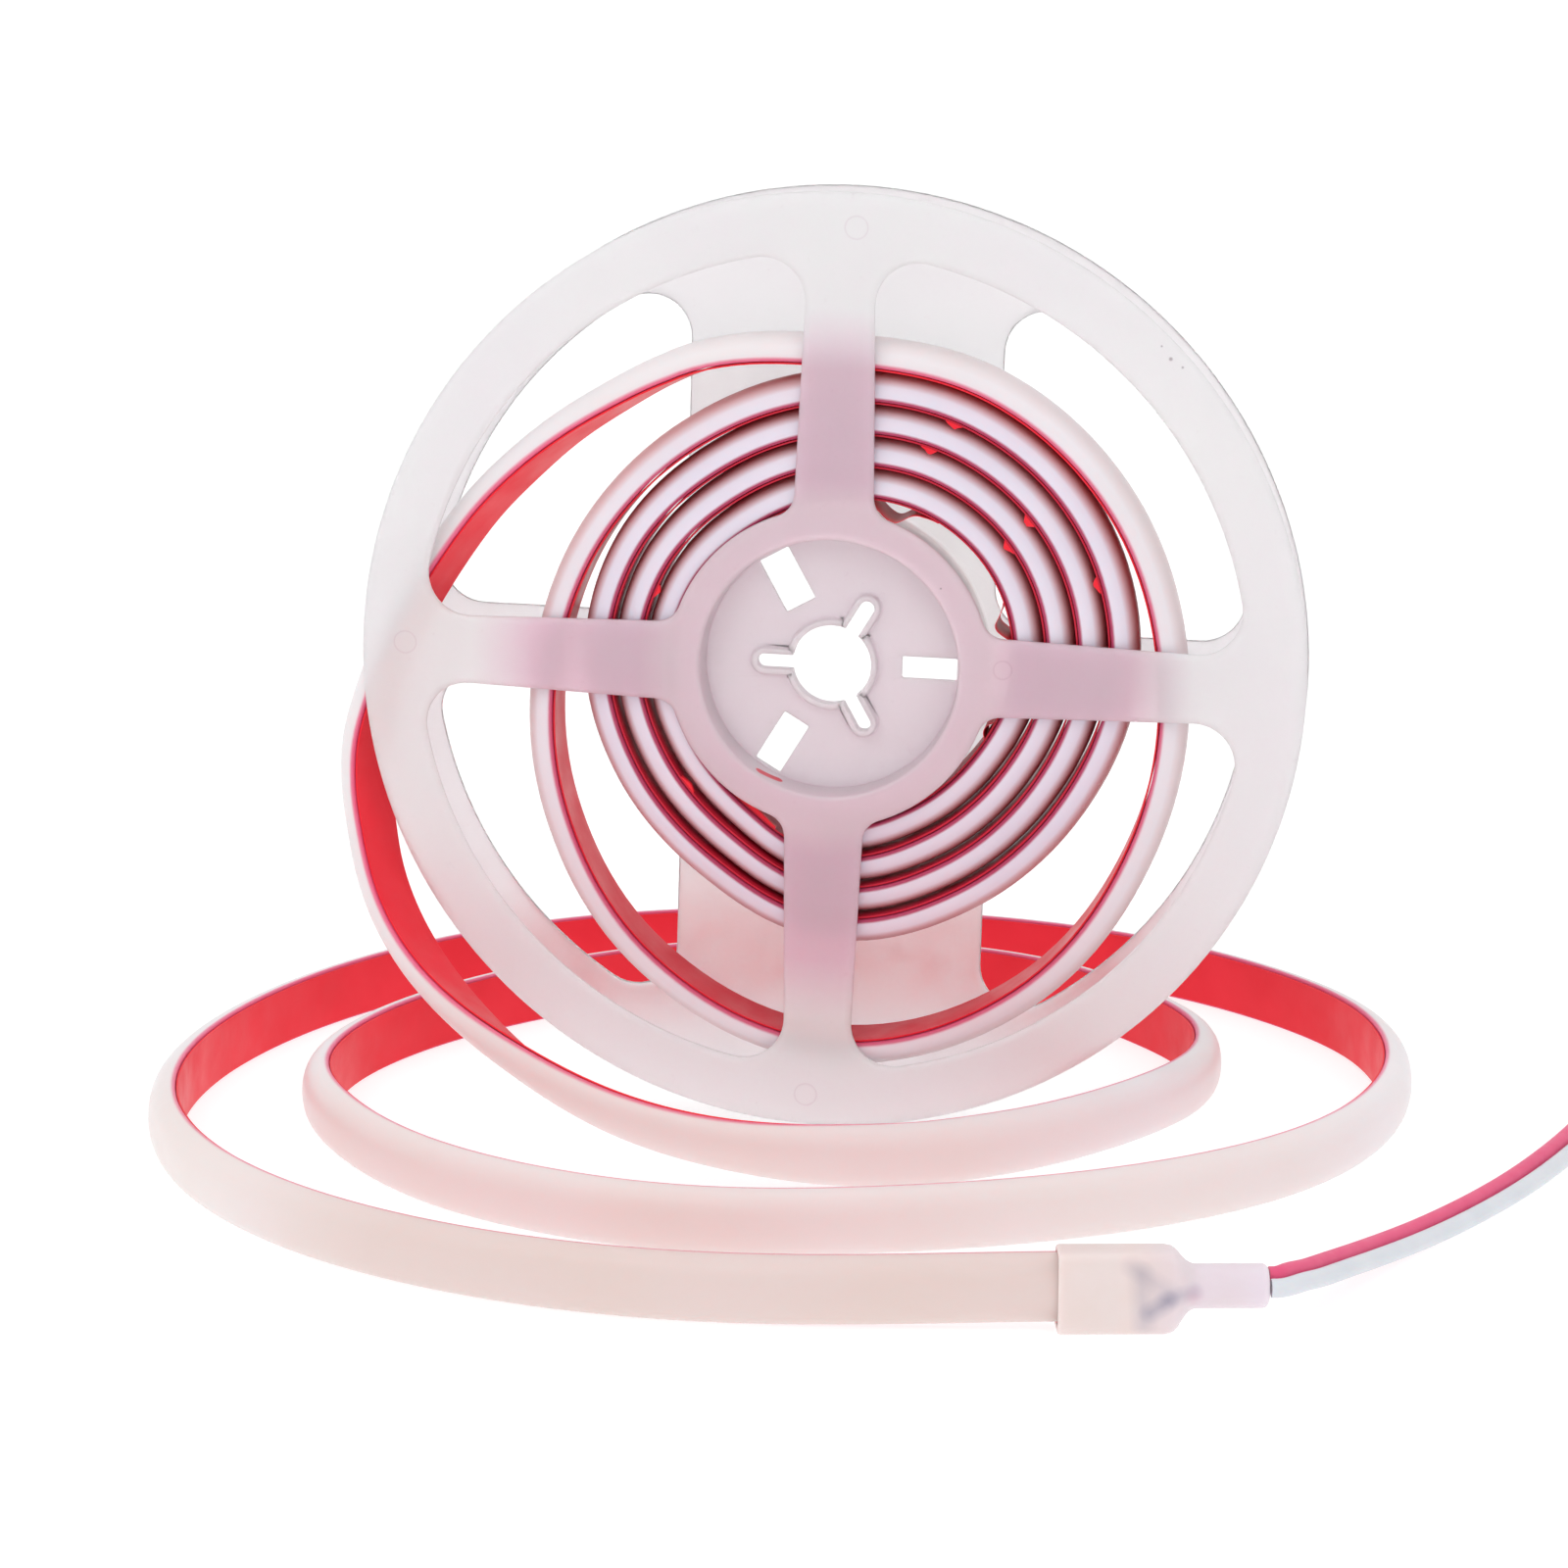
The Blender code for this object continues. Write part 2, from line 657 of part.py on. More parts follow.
def cut_with(obj, tool):
    combine(obj, tool, "DIFFERENCE")


def join_with(obj, tool):
    combine(obj, tool, "UNION")


def make_reel():
    front = spun("reel_front", front_profile(), False, "reel")
    plate_cut = 2 * PLATE_THICKNESS
    cut_with(front, cutter("front_windows", front_windows(), -PLATE_THICKNESS, plate_cut))
    collar_face = WEB_DEPTH - COLLAR_HEIGHT
    web_back = WEB_DEPTH + PLATE_THICKNESS
    collar = cutter("hub_collar", [bore_outline(COLLAR_WIDTH)], collar_face, WEB_DEPTH + PLATE_THICKNESS / 2)
    join_with(front, collar)
    cut_with(front, cutter("hub_bore", [bore_outline(0.0)] + hub_windows(), 0.0, web_back + PLATE_THICKNESS))
    back = spun("reel_back", back_profile(), True, "reel")
    inner_side = REEL_WIDTH - plate_cut
    cut_with(back, cutter("back_windows", back_windows(), inner_side, REEL_WIDTH + PLATE_THICKNESS))
    return front, back


def strip_end(stations):
    """Place and level directions of the strip's end on the floor: along, across and out of the taped face."""
    places, runs, _, _ = frames_along(stations)
    run = runs[-1] * (1.0, 1.0, 0.0)
    run /= np.linalg.norm(run)
    across = np.array((0.0, 0.0, -1.0))
    return places[-1], run, across, np.cross(across, run)


def loft(name, rings, material_name):
    bm = bmesh.new()
    made = [[bm.verts.new(p) for p in ring] for ring in rings]
    count = len(made[0])
    for ring, following in zip(made, made[1:]):
        for k in range(count):
            after = (k + 1) % count
            bm.faces.new((ring[k], ring[after], following[after], following[k]))
    bm.faces.new(made[0])
    bm.faces.new(made[-1])
    return add_object(name, bm, material_name)


def cap_outline(grow, fullness):
    """Rounded outline round the taped strip's section, grown by a wall, as across and outward pairs."""
    half = STRIP_WIDTH / 2 + grow
    low = -TAPE_DEPTH - grow
    high = STRIP_THICKNESS + grow
    middle = (low + high) / 2
    depth = (high - low) / 2
    found = []
    for k in range(NOZZLE_STEPS):
        angle = 2 * math.pi * k / NOZZLE_STEPS
        side = math.cos(angle)
        rise = math.sin(angle)
        found.append(
            (
                math.copysign(abs(side) ** (2 / fullness), side) * half,
                middle + math.copysign(abs(rise) ** (2 / fullness), rise) * depth,
            )
        )
    return found


def make_cap(stations):
    """The moulded end cap, with a socket over the strip's end and a round nozzle for the lead."""
    end, run, across, outward = strip_end(stations)
    mouth = end - run * (CAP_SOCKET_DEPTH - SEAT_GAP)
    body = cap_outline(CAP_FIT + CAP_WALL, CAP_FULLNESS)
    circle = []
    for k in range(NOZZLE_STEPS):
        angle = 2 * math.pi * k / NOZZLE_STEPS
        circle.append((math.cos(angle), math.sin(angle)))

    def ring_at(distance, share, radius):
        """A ring between the body's outline at share 1 and the nozzle's circle at share 0."""
        ring = []
        for (a, b), (c, s) in zip(body, circle):
            side = share * a + (1 - share) * c * radius
            out = share * b + (1 - share) * (NOZZLE_OFFSET + s * radius)
            ring.append(mouth + run * distance + across * side + outward * out)
        return ring

    rounded = cap_outline(CAP_FIT + CAP_WALL - CAP_EDGE_ROUND, CAP_FULLNESS)
    first = [mouth + across * a + outward * b for a, b in rounded]
    rings = [first, ring_at(CAP_EDGE_ROUND, 1.0, NOZZLE_RADIUS)]
    rings.append(ring_at(CAP_BODY_LENGTH * CAP_STRAIGHT_SHARE, 1.0, NOZZLE_RADIUS))
    for past, share in CAP_SHOULDER:
        rings.append(ring_at(CAP_BODY_LENGTH + CAP_SHOULDER_LENGTH * past, share, NOZZLE_RADIUS))
    tip = CAP_BODY_LENGTH + CAP_SHOULDER_LENGTH + NOZZLE_LENGTH
    rings.append(ring_at(tip - NOZZLE_END_ROUND, 0.0, NOZZLE_RADIUS))
    eased = NOZZLE_END_ROUND * NOZZLE_ROUND_SHARE
    rings.append(ring_at(tip - eased, 0.0, NOZZLE_RADIUS - eased))
    rings.append(ring_at(tip, 0.0, NOZZLE_RADIUS - NOZZLE_END_ROUND))
    cap = loft("end_cap", rings, "cap")

    socket = cap_outline(CAP_FIT, SOCKET_FULLNESS)
    hollow = []
    for distance in (-CAP_WALL, CAP_SOCKET_DEPTH):
        hollow.append([mouth + run * distance + across * a + outward * b for a, b in socket])
    tool = loft("cap_socket", hollow, None)
    tool.hide_render = True
    tool.display_type = "WIRE"
    cut_with(cap, tool)
    nozzle_end = mouth + run * tip + outward * NOZZLE_OFFSET
    return cap, nozzle_end, run


def make_lead(nozzle_end, run):
    """Two parallel cores from the nozzle's mouth along the floor, side by side and tipped a little."""
    start = nozzle_end + run * LEAD_EXIT_GAP + np.array((0.0, 0.0, LEAD_EXIT_RISE))
    spacing = (CORE_DIAMETER + CORE_GAP) / 2
    tilts = np.linspace(LEAD_TILT_START, LEAD_TILT_END, len(LEAD_ROUTE))
    route = [start, start + run * LEAD_STRAIGHT, start + run * LEAD_STRAIGHT * 2]
    for (x, y, lowest), tilt in zip(LEAD_ROUTE, tilts):
        height = lowest * MM + CORE_DIAMETER / 2 + spacing * math.sin(math.radians(tilt))
        route.append(np.array((x * MM, y * MM, height)))
    fine = cubic_through(route, count=LEAD_STEPS * LEAD_FINE_STEPS + 1)
    heading = np.gradient(fine, axis=0)
    heading[0] = run
    heading[:, 2] = 0.0
    heading /= np.linalg.norm(heading, axis=1)[:, None]
    left = np.stack([-heading[:, 1], heading[:, 0], np.zeros(len(heading))], axis=1)
    rise = np.array((0.0, 0.0, 1.0))
    tilt = np.radians(np.linspace(LEAD_TILT_START, LEAD_TILT_END, len(fine)))[:, None]
    middle = fine[::LEAD_FINE_STEPS]
    offset = ((left * np.cos(tilt) + rise * np.sin(tilt)) * spacing)[::LEAD_FINE_STEPS]
    cores = []
    for name, way, material_name in (("lead_red", 1, "core_red"), ("lead_white", -1, "core_white")):
        places = middle + offset * way
        places = np.insert(places, 1, places[0] + run * LEAD_STRAIGHT, axis=0)
        curve = bpy.data.curves.new(name, "CURVE")
        curve.dimensions = "3D"
        curve.bevel_depth = CORE_DIAMETER / 2
        curve.bevel_resolution = 2
        curve.use_fill_caps = True
        spline = curve.splines.new("POLY")
        spline.points.add(len(places) - 1)
        for point, place in zip(spline.points, places):
            point.co = (*place, 1.0)
        curve.materials.append(material(material_name))
        core = bpy.data.objects.new(name, curve)
        bpy.context.scene.collection.objects.link(core)
        cores.append(core)
    return cores


def stand_at_origin(pieces, everything):
    """Moves all so that the pieces' box stands on Z = 0 with its middle over the origin."""
    bpy.context.view_layer.update()
    graph = bpy.context.evaluated_depsgraph_get()
    corners = []
    for obj in pieces:
        mesh = obj.evaluated_get(graph).to_mesh()
        places = np.empty(len(mesh.vertices) * 3, np.float32)
        mesh.vertices.foreach_get("co", places)
        corners.append(places.reshape(-1, 3))
        obj.evaluated_get(graph).to_mesh_clear()
    places = np.concatenate(corners)
    low = places.min(axis=0)
    high = places.max(axis=0)
    shift = Vector((-(low[0] + high[0]) / 2, -(low[1] + high[1]) / 2, -low[2]))
    for obj in everything:
        obj.location = shift


def main():
    clear_scene()
    stations = strip_stations()
    strip = make_strip(stations)
    tape = make_tape(stations)
    front, back = make_reel()
    cap, nozzle_end, run = make_cap(stations)
    cores = make_lead(nozzle_end, run)
    pieces = [strip, tape, front, back, cap]
    stand_at_origin(pieces, list(bpy.data.objects))


main()
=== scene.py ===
"""Looks of a silicone neon flex on its reel: light strip, red tape, two-part reel, end cap and lead.

Lengths are in metres. In the reel's own frame its axis is over X = 0, its front face is at Y = 0 and the
floor is at Z = 0.
"""

import math

import bmesh
import bpy
import numpy as np
from mathutils import Matrix, Vector
from mathutils.geometry import tessellate_polygon


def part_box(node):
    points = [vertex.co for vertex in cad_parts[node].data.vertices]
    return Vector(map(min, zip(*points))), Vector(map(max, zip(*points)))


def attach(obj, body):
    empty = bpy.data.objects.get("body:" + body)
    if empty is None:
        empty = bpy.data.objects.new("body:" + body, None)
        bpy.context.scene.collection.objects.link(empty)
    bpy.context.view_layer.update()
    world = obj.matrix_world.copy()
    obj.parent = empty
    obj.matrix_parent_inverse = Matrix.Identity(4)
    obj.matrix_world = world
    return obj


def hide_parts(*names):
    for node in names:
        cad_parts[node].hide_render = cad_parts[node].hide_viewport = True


MM = 0.001

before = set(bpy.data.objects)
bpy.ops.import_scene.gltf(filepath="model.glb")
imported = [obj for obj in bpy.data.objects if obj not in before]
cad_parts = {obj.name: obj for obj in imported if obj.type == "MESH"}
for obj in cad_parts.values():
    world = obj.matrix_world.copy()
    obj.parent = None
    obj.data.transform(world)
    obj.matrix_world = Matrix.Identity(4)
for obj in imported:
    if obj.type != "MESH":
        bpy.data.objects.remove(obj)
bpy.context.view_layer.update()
front_low, front_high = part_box("reel_front")
ORIGIN = Vector(((front_low.x + front_high.x) / 2, front_low.y, 0.0))

# Sizes repeated from the solids
STRIP_WIDTH = 12.0 * MM
STRIP_THICKNESS = 5.2 * MM
DOME_FULLNESS = 2.3
TAPE_WIDTH = 11.0 * MM
TAPE_THICKNESS = 0.35 * MM
TAPE_GAP = 0.15 * MM
TAPE_DEPTH = TAPE_GAP + TAPE_THICKNESS
SEAT_GAP = 0.3 * MM
TURN_GAP = 0.3 * MM
REEL_RADIUS = 89.0 * MM
RING_WIDTH = 11.0 * MM
PLATE = 1.3 * MM
REEL_WIDTH = 16.0 * MM
STRIP_MIDDLE = REEL_WIDTH / 2
DRUM_RADIUS = 29.0 * MM
DRUM_WALL = 3.0 * MM
HUB_DISC_RADIUS = 30.4 * MM
CUP_RADIUS = 24.4 * MM
CUP_WALL = 1.3 * MM
CUP_SLOPE = 0.4 * MM
WEB_DEPTH = 6.5 * MM
BORE_RADIUS = 7.5 * MM
COLLAR_WIDTH = 1.2 * MM
COLLAR_HEIGHT = 1.6 * MM
KEYWAY_REACH = 14.1 * MM
KEYWAY_WIDTH = 2.8 * MM
HUB_WINDOWS = ((13.2, 23.6, 4.2), (12.5, 23.45, 6.2), (12.8, 23.5, 5.4))
REEL_TURN = math.radians(-1.5)
SPOKE_ROOT_WIDTH = 15.0 * MM
SPOKE_TIP_WIDTH = 12.4 * MM
WINDOW_OUTER_FILLET = 8.0 * MM
WINDOW_INNER_FILLET = 4.5 * MM
BACK_PANEL_WIDTH = 59.0 * MM
BACK_SPOKE_WIDTH = 13.0 * MM
AXIS_HEIGHT = REEL_RADIUS
TURN_PITCH = STRIP_THICKNESS + TAPE_DEPTH + TURN_GAP
COIL_SAG = (0.7, 0.5, 1.1, 3.2, 3.7, 2.2, -0.7, -3.3, -3.8, -4.2, -4.8, -3.7)
COIL_BASE = 0.3 * MM
SAG_ANGLE = 30.0
LIFT_START = 1290.0
COIL_LIFT = (0.2, 0.8, 3.7, 10.2, 17.0, 18.3, 16.2, 9.6, 3.2, 0.6, 0.2, 0.7, 6.9)
WOUND_TWIST = 6.0
WOUND_TWIST_SPAN = 60.0
RIM_ROUTE = (
    (130.0, -26.6, 0.0, 0.0, 10.0),
    (140.0, -24.1, 0.0, 0.0, 13.5),
    (150.0, -20.9, 0.0, 0.0, 18.0),
    (157.0, -18.1, 0.0, 0.0, 18.5),
    (165.0, -14.7, 0.0, 0.0, 18.5),
    (173.0, -10.4, 0.0, 0.0, 19.0),
    (180.0, -5.9, 0.0, 0.0, 20.0),
    (187.0, -1.2, 0.0, 0.0, 21.0),
    (191.0, 1.4, 0.9, 0.0, 22.0),
    (195.5, 3.3, 2.0, 0.0, 22.0),
    (200.0, 4.3, 4.2, 0.0, 22.0),
    (205.0, 5.5, 7.0, 0.0, 18.0),
    (213.0, 5.4, 14.0, 4.0, 13.0),
    (222.0, 2.6, 23.0, 16.0, 10.0),
)
LANDING_ROUTE = (
    (-53.5, -26.0, 14.5, 33.0, 8.0),
    (-32.0, -36.5, 7.0, 49.0, 6.0),
    (-7.0, -39.8, 2.5, 64.0, 4.0),
    (6.0, -38.3, 1.1, 79.0, 2.0),
)
FLOOR_ROUTE = (
    (22.0, -32.5), (42.0, -18.5), (58.0, 1.0), (68.0, 23.0), (67.0, 44.0), (56.0, 64.0), (38.0, 82.5),
    (14.0, 93.0), (-12.0, 94.5), (-38.0, 87.5), (-62.0, 71.0), (-82.0, 47.0), (-94.0, 19.0), (-95.0, -8.0),
    (-84.0, -33.0), (-65.0, -55.0), (-41.0, -69.5), (-12.0, -76.0), (17.0, -72.0), (46.0, -61.5),
    (71.0, -46.0), (91.0, -24.5), (103.0, 3.0), (105.5, 32.0), (98.0, 61.0), (81.0, 85.0), (57.0, 104.5),
    (28.0, 116.5), (-2.0, 120.5), (-32.0, 118.0), (-60.0, 108.5), (-86.0, 89.5), (-107.0, 61.0),
    (-119.5, 28.0), (-123.0, -6.0), (-116.0, -40.0), (-97.5, -70.5), (-70.0, -93.5), (-38.0, -107.0),
    (-5.0, -111.5), (27.0, -109.5), (52.0, -106.0), (61.5, -104.5),
)
RISE_TO_CAP = (0.0, 0.1, 0.6, 1.0, 1.0)
JOIN_SEARCH = 150.0 * MM
CAP_WALL = 0.9 * MM
CAP_FIT = 0.3 * MM
CAP_FULLNESS = 5.0
SOCKET_FULLNESS = 8.0
CAP_SOCKET_DEPTH = 10.0 * MM
STRAIGHT_MARGIN = 1.5 * MM
CAP_BODY_LENGTH = 19.0 * MM
CAP_STRAIGHT_SHARE = 0.93
CAP_SHOULDER_LENGTH = 4.0 * MM
CAP_SHOULDER = (0.93, 0.72, 0.38, 0.12, 0.0)
NOZZLE_RADIUS = 3.75 * MM
NOZZLE_LENGTH = 12.4 * MM
NOZZLE_END_ROUND = 1.2 * MM
NOZZLE_OFFSET = 1.0 * MM
CORE_DIAMETER = 3.2 * MM
CORE_GAP = 0.3 * MM
LEAD_TILT_START = 17.0
LEAD_TILT_END = 0.0
LEAD_ROUTE = (
    (90.6, -99.0, 5.6), (93.1, -94.9, 5.1), (96.3, -88.6, 4.2), (99.9, -80.8, 3.1),
    (104.7, -70.8, 1.8), (110.9, -59.6, 0.9), (121.2, -41.0, 0.3), (130.4, -22.2, 0.1),
    (138.0, -3.7, 0.1), (144.2, 14.5, 0.1), (149.0, 33.0, 0.1),
    (152.4, 52.0, 0.1), (154.0, 71.0, 0.1),
)
LEAD_STEPS = 36
LEAD_FINE_STEPS = 6
LEAD_EXIT_GAP = 0.3 * MM
LEAD_EXIT_RISE = 0.6 * MM
LEAD_STRAIGHT = 0.8 * MM

# Sizes and steps of the looks alone
STRIP_CORNER = 0.45 * MM
CORNER_STEPS = 3
DOME_STEPS = 22
TAPE_EDGE = 0.08 * MM
COIL_STEP = 2.5
FLOOR_STEP = 2.0 * MM
ROUTE_SPACING = 1.0 * MM
BARE_WIRE_RADIUS = 0.65 * MM
BARE_WIRE_SIDES = 16
# How much painted coil shade the strip gets (a darker lilac silicone, a dark valley between turns and a
# darker tape), at degrees wound from the coil's start
COIL_SHADE_ANGLES = (1230.0, 1330.0, 1520.0, 1660.0)
COIL_SHADE_SHARES = (1.0, 0.45, 0.35, 0.0)

# The photo's viewpoint, with angles in radians and the place in millimetres in the reel's frame
CAMERA_YAW = -0.1338
CAMERA_DIP = 0.2228
CAMERA_ROLL = 0.00335
CAMERA_LENS = 102.645
CAMERA_PLACE = (101.26, -813.38, 252.81)


def make_camera():
    """A long lens a little above and to the right of the reel."""
    level = math.cos(CAMERA_DIP)
    toward = Vector((math.sin(CAMERA_YAW) * level, math.cos(CAMERA_YAW) * level, -math.sin(CAMERA_DIP)))
    right = Vector((math.cos(CAMERA_YAW), -math.sin(CAMERA_YAW), 0.0))
    up = right.cross(toward)
    side = right * math.cos(CAMERA_ROLL) + up * math.sin(CAMERA_ROLL)
    top = -right * math.sin(CAMERA_ROLL) + up * math.cos(CAMERA_ROLL)
    data = bpy.data.cameras.new("camera")
    data.sensor_width = 36.0
    data.lens = CAMERA_LENS
    data.clip_start = 0.05
    data.clip_end = 20.0
    camera = bpy.data.objects.new("camera", data)
    turned = Matrix((side, top, -toward)).transposed().to_4x4()
    camera.matrix_world = Matrix.Translation(ORIGIN + Vector(CAMERA_PLACE) * MM) @ turned
    bpy.context.scene.collection.objects.link(camera)
    bpy.context.scene.camera = camera


def cubic_through(points, spacing=None, count=None):
    """Places evenly along a natural cubic curve through the points."""
    points = np.asarray(points, float)
    steps = np.linalg.norm(np.diff(points[:, :3], axis=0), axis=1)
    knots = np.concatenate([[0.0], np.cumsum(steps)])
    size = len(points)
    rows = np.zeros((size, size))
    slopes = np.zeros_like(points)
    rows[0, 0] = rows[-1, -1] = 1.0
    for i in range(1, size - 1):
        before = steps[i - 1]
        after = steps[i]
        rows[i, i - 1 : i + 2] = before, 2 * (before + after), after
        slopes[i] = 6 * ((points[i + 1] - points[i]) / after - (points[i] - points[i - 1]) / before)
    bends = np.linalg.solve(rows, slopes)
    count = count or max(2, round(knots[-1] / spacing) + 1)
    found = []
    for at in np.linspace(0.0, knots[-1], count):
        i = min(int(np.searchsorted(knots, at, side="right")) - 1, size - 2)
        length = steps[i]
        past = (at - knots[i]) / length
        left = 1.0 - past
        bow = (left**3 - left) * bends[i] + (past**3 - past) * bends[i + 1]
        found.append(left * points[i] + past * points[i + 1] + bow * length**2 / 6)
    return np.array(found)


def between(values, at):
    """Smooth value of a list at a fractional place, held at both ends."""
    i = int(math.floor(at))
    part = at - i
    p0, p1, p2, p3 = (values[min(max(i + k, 0), len(values) - 1)] for k in (-1, 0, 1, 2))
    slope_in = (p2 - p0) / 2
    slope_out = (p3 - p1) / 2
    return (
        (2 * part**3 - 3 * part**2 + 1) * p1
        + (part**3 - 2 * part**2 + part) * slope_in
        + (3 * part**2 - 2 * part**3) * p2
        + (part**3 - part**2) * slope_out
    )


def coil_radius(unrolled):
    """Distance of the taped face from the reel's axis, at degrees wound from the coil's start."""
    count = len(COIL_SAG)
    wrapped = COIL_SAG[-1:] + COIL_SAG + COIL_SAG[:3]
    sag = between(wrapped, unrolled / SAG_ANGLE % count + 1) * MM
    lowest = min(COIL_SAG[k] * MM + TURN_PITCH * k / count for k in range(count))
    seat = DRUM_RADIUS + SEAT_GAP + TAPE_DEPTH + COIL_BASE - lowest
    risen = max(0.0, (unrolled - LIFT_START) / SAG_ANGLE + 2)
    lift = between((0.0, 0.0) + COIL_LIFT, risen) * MM
    return seat + TURN_PITCH * unrolled / 360.0 + sag + lift


def on_reel(degrees, radius, forward):
    """Place at an angle and distance round the reel's axis, and forward of the strip's middle."""
    angle = math.radians(degrees)
    return (radius * math.cos(angle), STRIP_MIDDLE - forward, AXIS_HEIGHT + radius * math.sin(angle))


def strip_stations():
    """Rows of X, Y, Z, roll and twist along the middle of the taped face, closer than in the solid."""
    wound_end = LIFT_START + SAG_ANGLE * (len(COIL_LIFT) - 1)

    def wound_at(unrolled):
        twisted = max(0.0, 1.0 - (wound_end - unrolled) / WOUND_TWIST_SPAN)
        return (*on_reel(unrolled - 90.0, coil_radius(unrolled), 0.0), 0.0, WOUND_TWIST * twisted**2)

    wound = [wound_at(k * COIL_STEP) for k in range(int(wound_end / COIL_STEP) + 1)]
    falling = [wound_at(wound_end - SAG_ANGLE * back) for back in (2, 1, 0)]
    for degrees, outside, forward, *turns in RIM_ROUTE:
        falling.append((*on_reel(degrees, REEL_RADIUS + outside * MM, forward * MM), *turns))
    for x, y, height, *turns in LANDING_ROUTE:
        falling.append((x * MM, y * MM, STRIP_WIDTH / 2 + height * MM, *turns))
    floor = []
    shares = (0.0,) * (len(FLOOR_ROUTE) - len(RISE_TO_CAP)) + RISE_TO_CAP
    for (x, y), share in zip(FLOOR_ROUTE, shares):
        floor.append((x * MM, y * MM, STRIP_WIDTH / 2 + (CAP_WALL + CAP_FIT) * share, 90.0, 0.0))
    dense = cubic_through(falling + floor, spacing=FLOOR_STEP)
    near = dense[: round(JOIN_SEARCH / FLOOR_STEP)]
    joined = int(np.argmin(np.linalg.norm(near[:, :3] - np.array(wound[-1][:3]), axis=1))) + 1
    return with_straight_end(settled(np.vstack([np.array(wound), dense[joined:]])))


def with_straight_end(stations):
    """Makes the length inside the end cap straight and level."""
    end = stations[-1].copy()
    run = (stations[-1] - stations[-2])[:3] * (1.0, 1.0, 0.0)
    run /= np.linalg.norm(run)
    clear = CAP_SOCKET_DEPTH + 2 * STRAIGHT_MARGIN
    outside = stations[np.linalg.norm(stations[:, :3] - end[:3], axis=1) > clear]
    mouth = end.copy()
    mouth[:3] -= run * (CAP_SOCKET_DEPTH + STRAIGHT_MARGIN)
    return np.vstack([outside, mouth, end])


def settled(stations):
    """Lifts each station whose section would reach below the floor, so that it rests on it."""
    places, _, across, outward = frames_along(stations)
    lowest = np.full(len(places), np.inf)
    for a, b in dome_section() + tape_section():
        lowest = np.minimum(lowest, (places + across * a + outward * b)[:, 2])
    stations[:, 2] += np.maximum(0.0, -lowest)
    return stations


def frames_along(stations):
    """For each station: its place, its direction, across the strip and out of the taped face."""
    places = stations[:, :3]
    runs = np.gradient(places, axis=0)
    runs /= np.linalg.norm(runs, axis=1)[:, None]
    roll = np.radians(stations[:, 3])
    across = np.stack([np.zeros_like(roll), np.cos(roll), -np.sin(roll)], axis=1)
    across -= (across * runs).sum(axis=1)[:, None] * runs
    across /= np.linalg.norm(across, axis=1)[:, None]
    outward = np.cross(across, runs)
    twist = np.radians(stations[:, 4])[:, None]
    turned_across = across * np.cos(twist) - outward * np.sin(twist)
    turned_outward = outward * np.cos(twist) + across * np.sin(twist)
    return places, runs, turned_across, turned_outward


def dome_section():
    """Across and outward places round the strip: a full dome, with rounded corners on the taped face."""
    half = STRIP_WIDTH / 2
    corner = STRIP_CORNER
    found = []
    for k in range(DOME_STEPS + 1):
        angle = math.pi * k / DOME_STEPS
        side = math.cos(angle)
        rise = math.sin(angle)
        a = math.copysign(abs(side) ** (2 / DOME_FULLNESS), side) * half
        b = corner + abs(rise) ** (2 / DOME_FULLNESS) * (STRIP_THICKNESS - corner)
        found.append((a, b))
    for k in range(1, CORNER_STEPS + 1):
        angle = math.pi / 2 * k / CORNER_STEPS
        found.append((-half + corner * (1 - math.cos(angle)), corner * (1 - math.sin(angle))))
    for k in range(CORNER_STEPS):
        angle = math.pi / 2 * (1 - k / CORNER_STEPS)
        found.append((half - corner * (1 - math.cos(angle)), corner * (1 - math.sin(angle))))
    return found


def tape_section():
    """Across and outward places round the tape, with rounded long edges."""
    half = TAPE_WIDTH / 2
    near = -TAPE_GAP
    far = -TAPE_DEPTH
    middle = (near + far) / 2
    return [
        (half, middle), (half - TAPE_EDGE, near), (0.0, near), (-half + TAPE_EDGE, near),
        (-half, middle), (-half + TAPE_EDGE, far), (0.0, far), (half - TAPE_EDGE, far),
    ]


def add_mesh(name, bm, angle=40.0):
    """Object from a bmesh in the reel's frame, smooth shaded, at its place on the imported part."""
    bmesh.ops.recalc_face_normals(bm, faces=bm.faces)
    mesh = bpy.data.meshes.new(name)
    bm.to_mesh(mesh)
    bm.free()
    mesh.shade_smooth()
    mesh.set_sharp_from_angle(angle=math.radians(angle))
    obj = bpy.data.objects.new(name, mesh)
    bpy.context.scene.collection.objects.link(obj)
    obj.location = ORIGIN
    return obj


def sweep(name, stations, section, angle):
    """Skin of a section along the strip's stations."""
    places, _, across, outward = frames_along(stations)
    rings = [[p + s * a + o * b for a, b in section] for p, s, o in zip(places, across, outward)]
    obj = loft(name, rings, angle)
    # Two values for the materials: how far over the dome, and whether the strip is wound there, which sets
    # its painted coil shade
    turned = np.arange(len(places)) * COIL_STEP
    wound = np.interp(turned, COIL_SHADE_ANGLES, COIL_SHADE_SHARES)
    over = np.tile([b / STRIP_THICKNESS for _, b in section], len(places))
    for key, values in (("over", over), ("wound", np.repeat(wound, len(section)))):
        layer = obj.data.attributes.new(key, "FLOAT", "POINT")
        layer.data.foreach_set("value", np.asarray(values, np.float32))
    return obj


def loft(name, rings, angle=40.0):
    """Closed skin over rings of equal count, with flat ends."""
    bm = bmesh.new()
    made = [[bm.verts.new(p) for p in ring] for ring in rings]
    skin(bm, made)
    bm.faces.new(made[0])
    bm.faces.new(made[-1])
    return add_mesh(name, bm, angle)


def strip_end(stations):
    """Place and level directions of the strip's end: along, across and out of the taped face."""
    places, runs, _, _ = frames_along(stations)
    run = runs[-1] * (1.0, 1.0, 0.0)
    run /= np.linalg.norm(run)
    across = np.array((0.0, 0.0, -1.0))
    return places[-1], run, across, np.cross(across, run)


